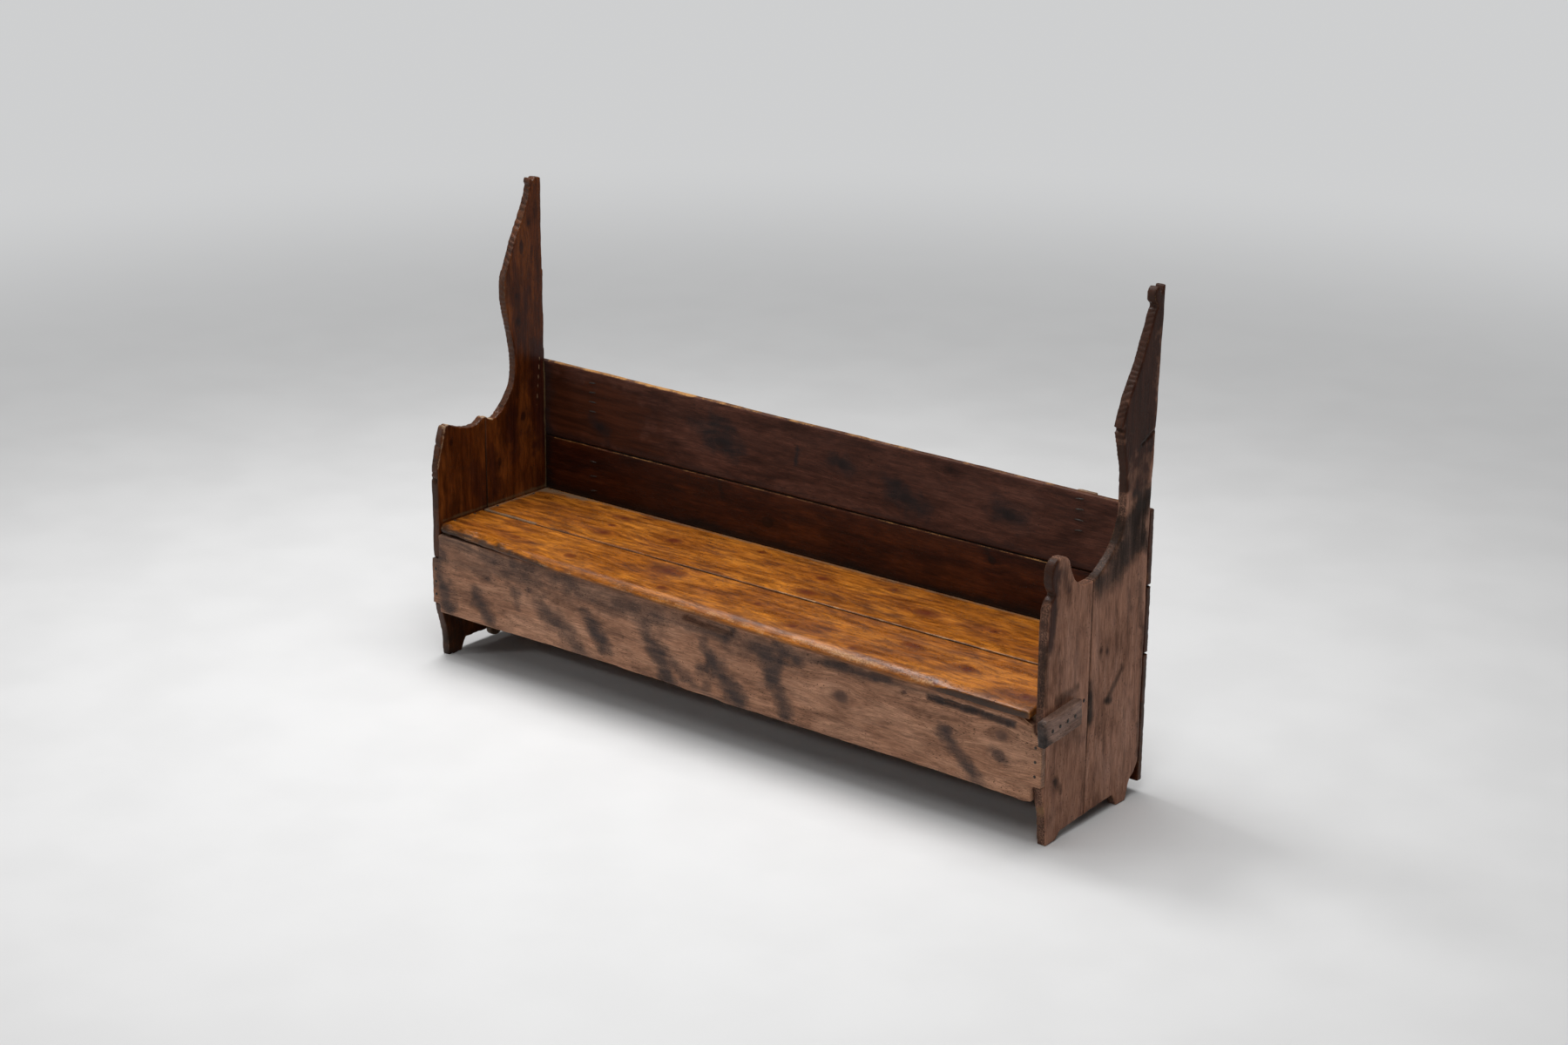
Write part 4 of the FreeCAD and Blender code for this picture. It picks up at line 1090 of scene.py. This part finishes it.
@dataclass
class SeatBoards:
    """The two long seat boards, the front one twisted and broken along its left nosing."""

    thick: float = 25.0
    joint: float = 187.0
    droop: float = 38.0
    width: float = 212.0
    twist_from: float = 76.8
    twist_to: float = 2123.2

    def settle(self, points: np.ndarray) -> np.ndarray:
        """Rolls, breaks and lowers the front board's nosing as wear and twist have done."""
        x, y, z = points.T
        high = np.clip((z - SEAT_TOP + self.thick) / self.thick, 0, 1)
        rolled = np.interp(x, (28, 500, 900, 1080, 1180, 1850, 1930, 2172),
                           (17, 19, 17, 14, 16, 14, 3, 2))
        drop = rolled * np.clip((6 - y) / 31, 0, 1) ** 2
        inner = np.interp(x, (28, 80, 170, 230, 330, 480), (14, 20, 18, 10, -2, -20))
        inner += noise(points, (46, 400, 400), 77, 3) * 5
        edge = np.interp(x, (28, 140, 260, 400, 480), (2, -4, -12, -21, -25))
        share = np.clip((inner - y) / np.maximum(inner - edge, 4), 0, 1)
        fibres = noise(points, (70, 5, 400), 78, 2) * 2.2 * np.minimum(share * 4, 1)
        broken = fade(share, 0, 0.2) * 7 + share * 8 + fibres
        drop += (broken - drop) * fade(x, 480, 260)
        lean = np.clip((x - self.twist_from) / (self.twist_to - self.twist_from), 0, 1)
        lowered = points.copy()
        lowered[:, 2] -= drop * high + lean * self.droop * (self.joint - y) / self.width
        return lowered

    def boards(self) -> list[Board]:
        """Both seat boards with their marks.

        Returns:
            The front board, then the rear one.
        """
        front = [(28.8, 184.5), (28.8, 6), (40, 2), (70, -1), (100, 0), (140, -5), (180, -5),
                 (220, -10), (260, -11), (300, -16), (340, -17), (400, -21), (480, -25),
                 (900, -25), (1400, -25), (1800, -25), (2171.2, -25), (2171.2, 184.5)]
        rear = [(28.8, 190), (700, 189.5), (2171.2, 189.5), (2171.2, 475), (28.8, 475)]
        return [
            Board("seat_front_board", "seat_wood", Face.TOP, Grain.LENGTHWISE, front,
                  SEAT_TOP - self.thick, SEAT_TOP, SEAT, 21, cell=3.8, edge_loss=1.2, nose=3.0,
                  wear=0.5, warp=self.settle, joints=[((28, 184.5), (2172, 184.5))],
                  # Faces turned to the front from x 1830 to the end are darkened.
                  dark_fronts=[(1830, 2172)],
                  stains=stains((28, 4, 210, -2, 12, 0.95), (200, -5, 330, -14, 9, 0.9),
                                (330, -16, 470, -25, 5, 0.8), (1990, 0, 2170, -8, 14, 0.35),
                                (760, 150, 860, 110, 22, 0.3), (960, 150, 1100, 100, 30, 0.25),
                                (1400, 160, 1560, 120, 24, 0.25), (470, -24, 1100, -27, 3, 0.5)),
                  # These rubs are partly wear and partly painted highlights: sheen on the rounded
                  # nosing, a bright line along the top edge from x 1860, and glossy scuffs on the
                  # top near the right.
                  rubs=stains((1090, -16, 1290, -20, 7, 0.5), (1390, -14, 1860, -18, 7, 0.55),
                              (700, -16, 1000, -18, 5, 0.35), (1860, -23, 2171, -24, 1.6, 0.9),
                              (1700, 30, 1790, 26, 5, 0.4), (2040, 60, 2080, 52, 9, 0.35)),
                  knots=knots((511, 51, 15), (283, 64, 11), (830, 129, 24, 2.2), (881, 28, 10),
                              (1350, 34, 11), (1568, 15, 10), (1903, 76, 13), (1861, -14, 10),
                              (2120, 31, 13), (1180, 92, 8), (1700, 110, 12, 2.6))),
            Board("seat_rear_board", "seat_wood", Face.TOP, Grain.LENGTHWISE, rear,
                  SEAT_TOP - self.thick, SEAT_TOP, SEAT, 22, cell=4.4, edge_loss=1.0, wear=0.3,
                  joints=[((28, 189.5), (2172, 189.5)), ((28, 475), (2172, 475))],
                  knots=knots((454, 259, 16), (668, 334, 18), (417, 398, 12), (432, 325, 9),
                              (1204, 354, 14), (1242, 234, 20, 1.8), (1591, 314, 20, 1.6),
                              (1824, 314, 12), (930, 420, 9), (1420, 410, 8)),
                  stains=stains((300, 220, 520, 240, 24, 0.3), (1300, 240, 1560, 230, 26, 0.35),
                                (1650, 420, 1900, 400, 24, 0.25), (29, 474, 2171, 474, 3, 0.8)),
                  # The thin rub along the front edge from x 1160 to 2160 is a painted highlight
                  # line.
                  rubs=stains((1160, 191, 2160, 191, 1.2, 0.8), (1050, 440, 1500, 455, 5, 0.35)),
                  dirt=stains((29, 462, 2171, 466, 8, 0.6), (35, 200, 35, 470, 12, 0.6),
                              (50, 448, 200, 458, 18, 0.7), (29, 194, 240, 192, 6, 0.7))),
        ]


@dataclass
class BackBoards:
    """The three long boards nailed to the ends' rear edges, and the battens behind them."""

    front: float = 476.0
    thick: float = 22.0
    batten_thick: float = 22.0

    def plank(self, node: str, low: float, left: float, right: float, seed: int,
              finish: WoodFinish = BACK, **marks: object) -> Board:
        """One back board.

        Args:
            node: The node it stands for.
            low: Its lower edge.
            left: Its upper edge at the left end.
            right: Its upper edge at the right end.
            seed: Its noise pattern.
            finish: Its finish.
            **marks: Knots, stains and other marks.

        Returns:
            The board.
        """
        outline = [(0, low), (0, left), (2200, right), (2200, low)]
        return Board(node, "back_wood", Face.FRONT, Grain.LENGTHWISE, outline, self.front,
                     self.front + self.thick, finish, seed, cell=4.6, wear=0.3,
                     joints=[((0, 598), (2200, 598)), ((0, 405), (2200, 405))], **marks)

    def boards(self) -> list[Board]:
        """All back boards and back battens.

        Returns:
            The boards from the top down, then the battens.
        """
        made = [
            self.plank("back_upper_board", 598.8, 836, 814, 31, BACK_DUSTY, edge_loss=1.8,
                       knots=knots((252, 663, 12), (730, 710, 14), (1177, 734, 13),
                                   (1403, 677, 14), (1751, 702, 14), (1553, 792, 10)),
                       coats=stains((29, 700, 330, 700, 120, 0.95), (250, 700, 480, 620, 60, 0.5)),
                       rubs=stains((40, 840, 620, 832, 5, 0.9), (620, 832, 2160, 818, 3, 0.8)),
                       stains=stains((690, 715, 770, 700, 42, 0.75),
                                     (700, 790, 730, 730, 24, 0.5),
                                     (1008, 700, 1015, 745, 9, 0.9),
                                     (620, 750, 760, 765, 24, 0.5),
                                     (1150, 740, 1210, 725, 30, 0.6),
                                     (1370, 690, 1450, 660, 40, 0.75),
                                     (1330, 720, 1360, 690, 20, 0.5),
                                     (1720, 712, 1790, 690, 40, 0.65),
                                     (225, 680, 275, 650, 26, 0.6), (29, 610, 29, 820, 30, 0.6),
                                     (2171, 610, 2171, 810, 30, 0.5),
                                     (29, 606, 2171, 606, 16, 0.4))),
            self.plank("back_middle_board", 405.8, 597.2, 597.2, 32,
                       dirt=stains((29, 430, 2171, 430, 3, 0.35)),
                       rubs=stains((60, 595, 1900, 595, 1.0, 0.6)),
                       stains=stains((29, 440, 29, 590, 26, 0.7), (29, 434, 2171, 434, 20, 0.7),
                                     (720, 590, 735, 540, 10, 0.6),
                                     (1680, 590, 1700, 560, 10, 0.7)),
                       knots=knots((1701, 560, 9), (905, 500, 12))),
            self.plank("back_lower_board", 34, 404.2, 404.2, 33),
        ]
        rear = self.front + self.thick
        for seed, (side, x) in enumerate((("left", 222.0), ("right", 1978.0)), 34):
            outline = [(x - 31, 430), (x - 31, 812), (x + 31, 812), (x + 31, 430)]
            made.append(Board(side + "_back_batten", "inner_wood", Face.FRONT, Grain.UPRIGHT,
                              outline, rear, rear + self.batten_thick, INNER, seed, cell=3.2))
        return made


@dataclass
class Cleats:
    """The short boards nailed across the outsides of the ends."""

    thick: float = 25.0
    height: float = 73.0
    length: float = 176.0

    def tilted(self, y: float, z: float, degrees: float) -> list[Point]:
        """Outline of a cleat whose lower front corner is at a point and that is turned about it."""
        turn = Matrix.Rotation(math.radians(degrees), 2)
        corners = ((0, 0), (self.length, 0), (self.length, self.height), (0, self.height))
        return [tuple(turn @ Vector(corner) + Vector((y, z))) for corner in corners]

    def boards(self) -> list[Board]:
        """Both cleats.

        Returns:
            The left one, then the right one.
        """
        common = dict(slot="cleat_wood", face=Face.SIDE, grain=Grain.FRONT_TO_BACK, finish=CLEAT,
                      cell=2.6, edge_loss=2.4, edge_width=7.0, wear=0.5)
        return [
            Board("left_outer_cleat", outline=self.tilted(136, 431, -9), near=-self.thick, far=0.0,
                  seed=41, **common),
            Board("right_outer_cleat", outline=self.tilted(-29, 300, 5), near=2200.0,
                  far=2200.0 + self.thick, seed=42, **common,
                  stains=stains((-34, 300, -34, 380, 22, 0.95), (-20, 298, 140, 312, 6, 0.6)),
                  chips=chips(((2225, -34, 372), (2212, -34, 374), 16, 9),
                              ((2225, -30, 330), (2215, -32, 322), 9, 4))),
        ]


@dataclass
class InnerFrame:
    """The battens, bearers and ledger under and beside the seat."""

    def bar(self, node: str, face: Face, grain: Grain, seed: int) -> Board:
        """A straight bar that fills its node's box.

        Args:
            node: The node it stands for.
            face: The plane of its outline.
            grain: Which way its fibres run.
            seed: Its noise pattern.

        Returns:
            The bar.
        """
        low, high = (np.array(corner) / MM + ORIGIN_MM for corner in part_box(node))
        first, second, third = face.value
        outline = [(low[first], low[second]), (high[first], low[second]),
                   (high[first], high[second]), (low[first], high[second])]
        return Board(node, "inner_wood", face, grain, outline, low[third], high[third], INNER,
                     seed, cell=3.2)

    def boards(self) -> list[Board]:
        """The hidden woodwork.

        Returns:
            The ledger, the bearers and the joint battens.
        """
        made = [
            self.bar("seat_rear_ledger", Face.FRONT, Grain.LENGTHWISE, 51),
            self.bar("left_seat_bearer", Face.SIDE, Grain.FRONT_TO_BACK, 52),
            self.bar("right_seat_bearer", Face.SIDE, Grain.FRONT_TO_BACK, 53),
        ]
        made[2].outline = [(14, 343), (446, 343), (446, 403), (189, 403), (14, 372)]
        for seed, node in enumerate(("left_joint_batten", "right_joint_batten"), 54):
            batten = self.bar(node, Face.SIDE, Grain.UPRIGHT, seed)
            batten.outline = [(189, 343), (189, 33), (197.6, 23), (209.5, 17.7), (222.5, 17.7),
                              (234.4, 23), (243, 33), (243, 343)]
            made.append(batten)
        return made


# Rise in millimetres and narrowing of each step of a forged head, from its rim to its crown.
HEAD_STEPS = ((1.0, 0.94), (0.9, 0.72), (0.6, 0.5))
POINT_TAPER = 0.35
# The largest share of its width, and of a millimetre, that a hammer blow takes off a head.
HEAD_DENTS = (0.12, 0.35)
CLENCHED = 3.4
BROAD_HEAD = 6.0


@dataclass
class Nails:
    """Forged nails with faceted heads, in place of one node's plain ones."""

    node: str
    shank: float = 2.0
    head: float = 4.5
    head_height: float = 2.5
    clenched: float = 1.0

    def parts(self) -> list[tuple[Vector, Vector, float]]:
        """Finds each nail of the node.

        Returns:
            The middle of each head's top, the way its point looks and its whole length.
        """
        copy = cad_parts[self.node].copy()
        copy.data = copy.data.copy()
        shape = bmesh.new()
        shape.from_mesh(copy.data)
        bmesh.ops.remove_doubles(shape, verts=shape.verts, dist=1e-6)
        todo, found = set(shape.verts), []
        while todo:
            stack, group = [todo.pop()], []
            while stack:
                here = stack.pop()
                group.append(here.co.copy())
                for edge in here.link_edges:
                    other = edge.other_vert(here)
                    if other in todo:
                        todo.discard(other)
                        stack.append(other)
            found.append(np.array(group))
        shape.free()
        bpy.data.objects.remove(copy)
        result = []
        for group in found:
            low, high = group.min(0), group.max(0)
            middle = (low + high) / 2
            axis = int(np.argmax(high - low))
            rest = [other for other in range(3) if other != axis]
            wide = np.linalg.norm((group - middle)[:, rest], axis=1).argmax()
            sign = 1.0 if group[wide, axis] > middle[axis] else -1.0
            top = middle.copy()
            top[axis] = (high if sign > 0 else low)[axis]
            way = Vector((0, 0, 0))
            way[axis] = -sign
            result.append((Vector(top), way, float((high - low)[axis])))
        return sorted(result, key=lambda item: tuple(item[0]))

    def forge(self, length: float) -> bpy.types.Object:
        """Shapes one nail, its head on the XY plane and its point down.

        Args:
            length: From head to point in metres.

        Returns:
            The nail.
        """
        bpy.ops.object.select_all(action="DESELECT")
        shaft = length - self.head_height * MM
        bpy.ops.mesh.primitive_cylinder_add(vertices=8, radius=self.shank * MM, depth=shaft,
                                            location=(0, 0, -self.head_height * MM - shaft / 2))
        nail = bpy.context.object
        bpy.ops.object.transform_apply(location=True)
        bpy.ops.object.mode_set(mode="EDIT")
        self.pick(nail, low=True)
        bpy.ops.transform.resize(value=(POINT_TAPER, POINT_TAPER, 1))
        self.pick(nail, low=False)
        wide = self.head / self.shank
        bpy.ops.mesh.extrude_region_move()
        bpy.ops.transform.resize(value=(wide, wide, 1))
        for rise, shrink in HEAD_STEPS:
            bpy.ops.mesh.extrude_region_move(TRANSFORM_OT_translate={"value": (0, 0, rise * MM)})
            bpy.ops.transform.resize(value=(shrink, shrink, 1))
        bpy.ops.object.mode_set(mode="OBJECT")
        return nail

    def pick(self, nail: bpy.types.Object, low: bool) -> None:
        """Selects the point's or the head's end face in edit mode."""
        bpy.ops.mesh.select_all(action="DESELECT")
        shape = bmesh.from_edit_mesh(nail.data)
        ends = [face for face in shape.faces if abs(face.normal.z) > 0.9]
        chosen = (min if low else max)(ends, key=lambda face: face.calc_center_median().z)
        chosen.select = True
        bmesh.update_edit_mesh(nail.data)

    def strike(self, model: bpy.types.Object, top: Vector, way: Vector,
               draw: np.random.Generator) -> bpy.types.Object:
        """Drives one copy of a nail in and dents its head.

        Args:
            model: The nail that is copied.
            top: The middle of its head's top.
            way: The way its point looks.
            draw: Where the random numbers come from.

        Returns:
            The driven nail.
        """
        nail = model.copy()
        nail.data = model.data.copy()
        bpy.context.scene.collection.objects.link(nail)
        points = np.empty(len(nail.data.vertices) * 3, np.float32)
        nail.data.vertices.foreach_get("co", points)
        points = points.reshape(-1, 3)
        dented = points[:, 2] > -self.head_height * MM * 1.01
        narrow, low = HEAD_DENTS
        points[dented, :2] *= 1 + draw.uniform(-narrow, 0.0, (dented.sum(), 1))
        points[dented, 0] *= self.clenched
        points[dented, 1] /= math.sqrt(self.clenched)
        points[dented, 2] -= draw.uniform(0, low * MM, dented.sum())
        nail.data.vertices.foreach_set("co", points.ravel())
        turn = way.to_track_quat("-Z", "Y").to_matrix().to_4x4()
        free = math.pi if self.clenched == 1.0 else 0.2
        spin = Matrix.Rotation(draw.uniform(-0.05, free), 4, "Z")
        nail.data.transform(Matrix.Translation(top) @ turn @ spin)
        return nail

    def build(self, finishes: dict[str, bpy.types.Material]) -> bpy.types.Object:
        """Forges all nails of the node as one piece.

        Args:
            finishes: The built materials by finish name.

        Returns:
            The piece.
        """
        draw = np.random.default_rng(sum(map(ord, self.node)))
        parts = self.parts()
        model = self.forge(parts[0][2])
        nails = [self.strike(model, top, way, draw) for top, way, _ in parts]
        bpy.data.objects.remove(model)
        bpy.ops.object.select_all(action="DESELECT")
        for nail in nails:
            nail.select_set(True)
        bpy.context.view_layer.objects.active = nails[0]
        bpy.ops.object.join()
        piece = nails[0]
        piece.name = self.node + "_forged"
        piece.data.name = piece.name
        piece.data.materials.clear()
        piece.data.materials.append(finishes[IRON.name])
        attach(piece, "root")
        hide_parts(self.node)
        LOG.info("%s: %d nails", piece.name, len(nails))
        return piece


@dataclass(frozen=True)
class Lamp:
    """A square soft lamp: its place and target and its side in metres, its power in watts."""

    name: str
    place: tuple[float, float, float]
    target: tuple[float, float, float]
    size: float
    power: float

    def hang(self) -> None:
        """Hangs the lamp."""
        light = bpy.data.lights.new(self.name, "AREA")
        light.size = self.size
        light.energy = self.power
        holder = bpy.data.objects.new(self.name, light)
        bpy.context.scene.collection.objects.link(holder)
        holder.location = self.place
        aim = Vector(self.target) - Vector(self.place)
        holder.rotation_euler = aim.to_track_quat("-Z", "Y").to_euler()


LAMPS = (Lamp("ceiling", (0, 0.1, 5.2), (0, 0.1, 0), 4.6, 215),
         Lamp("key", (-1.9, 0.2, 4.3), (0, 0, 0.4), 1.3, 80),
         Lamp("fill", (3.0, -3.8, 5.2), (0, 0, 0.4), 2.4, 80),
         Lamp("glint", (-4.6, -4.4, 2.8), (0, 0, 0.7), 0.6, 30))
ROOM_LIGHT = 0.09
FLOOR_SIDE = 90.0
# The floor is lit by itself beyond the first distance, fully from the second one, in metres.
FAR_OFF = (2.0, 8.0)


@dataclass
class Studio:
    """The pale floor, the soft lamps and the camera."""

    focal: float = 68.0
    yaw: float = 38.305
    pitch: float = 18.602
    roll: float = 0.503
    stand: tuple[float, float, float] = (4.9375, -6.1850, 3.2659)

    def floor(self) -> None:
        """Lays the floor."""
        bpy.ops.object.select_all(action="DESELECT")
        bpy.ops.mesh.primitive_plane_add(size=FLOOR_SIDE, location=(0, 0, 0))
        ground = bpy.context.object
        ground.name = "floor"
        s = Shade("floor_pale")
        place = s.node("TexCoord").outputs["Object"]
        mottle = s.noise(place, 3.0, 3.0, 0.5)
        colour = s.blend(s.spread(mottle, 0.3, 0.7), (0.77, 0.77, 0.77), (0.79, 0.79, 0.79))
        s.finish(colour, s.spread(mottle, 0.3, 0.7, 0.6, 0.7), mottle, 0.0001)
        self.pale_far_off(s, place)
        ground.data.materials.append(s.material)

    def pale_far_off(self, s: Shade, place: bpy.types.NodeSocket) -> None:
        """Keeps the floor pale to the camera and in reflections where no lamp reaches it."""
        away = s.node("VectorMath", {"operation": "LENGTH"})
        s.feed(away.inputs[0], place)
        rays = s.node("LightPath").outputs
        seen = s.maths("ADD", rays["Is Camera Ray"], rays["Is Glossy Ray"])
        seen = s.maths("ADD", seen, rays["Is Transmission Ray"], clamp=True)
        share = s.times(s.spread(away.outputs["Value"], *FAR_OFF), seen)
        pale = s.node("Emission", Color=(0.62, 0.625, 0.63, 1.0), Strength=1.0)
        mixed = s.node("MixShader")
        s.feed(mixed.inputs[0], share)
        s.feed(mixed.inputs[1], s.shader.outputs[0])
        s.feed(mixed.inputs[2], pale.outputs[0])
        s.feed(s.tree.nodes["Material Output"].inputs["Surface"], mixed.outputs[0])

    def air(self) -> None:
        """Fills the room with a weak even light."""
        world = bpy.data.worlds.new("studio")
        bpy.context.scene.world = world
        world.use_nodes = True
        tree = world.node_tree
        soft = tree.nodes["Background"]
        soft.inputs["Color"].default_value = (1, 1, 1, 1)
        soft.inputs["Strength"].default_value = ROOM_LIGHT

    def camera(self) -> None:
        """Places the camera as the photograph was taken."""
        yaw, pitch, roll = (math.radians(v) for v in (self.yaw, self.pitch, self.roll))
        right = Vector((math.cos(yaw), math.sin(yaw), 0))
        ahead = Vector((-math.sin(yaw) * math.cos(pitch), math.cos(yaw) * math.cos(pitch),
                        -math.sin(pitch)))
        above = right.cross(ahead)
        side = right * math.cos(roll) + above * math.sin(roll)
        up = above * math.cos(roll) - right * math.sin(roll)
        data = bpy.data.cameras.new("camera")
        data.sensor_fit = "HORIZONTAL"
        data.sensor_width = 36.0
        data.lens = self.focal
        data.clip_end = 200.0
        camera = bpy.data.objects.new("camera", data)
        bpy.context.scene.collection.objects.link(camera)
        turn = Matrix((side, up, -ahead)).transposed().to_4x4()
        camera.matrix_world = Matrix.Translation(Vector(self.stand)) @ turn
        bpy.context.scene.camera = camera

    def build(self) -> None:
        """Sets up the whole studio."""
        self.floor()
        for lamp in LAMPS:
            lamp.hang()
        self.air()
        self.camera()
        bpy.context.scene.view_settings.view_transform = "Standard"


NAIL_NODES = ("left_apron_nails", "right_apron_nails", "left_back_nails", "right_back_nails",
              "left_back_batten_nails", "right_back_batten_nails", "left_bearer_nails",
              "right_bearer_nails", "left_joint_batten_nails", "right_joint_batten_nails",
              "left_seat_nails", "right_seat_nails", "ledger_nails", "left_cleat_nails",
              "right_cleat_nails")


def main() -> None:
    """Builds the studio and every piece of the bench."""
    logging.basicConfig(level=logging.INFO, format="%(name)s %(message)s")
    Studio().build()
    looks = (SEAT, BACK, BACK_DUSTY, END_INNER, END_OUTER, APRON, CLEAT, INNER, IRON)
    finishes = {look.name: look.build() for look in looks}
    for assembly in (EndBoards(), FrontApron(), SeatBoards(), BackBoards(), Cleats(), InnerFrame()):
        for board in assembly.boards():
            board.build(finishes)
    for node in NAIL_NODES:
        nails = Nails(node)
        if "back_batten" in node:
            nails.clenched = CLENCHED
        if node == "right_cleat_nails":
            nails.head = BROAD_HEAD
        nails.build(finishes)


if __name__ == "__main__":
    main()
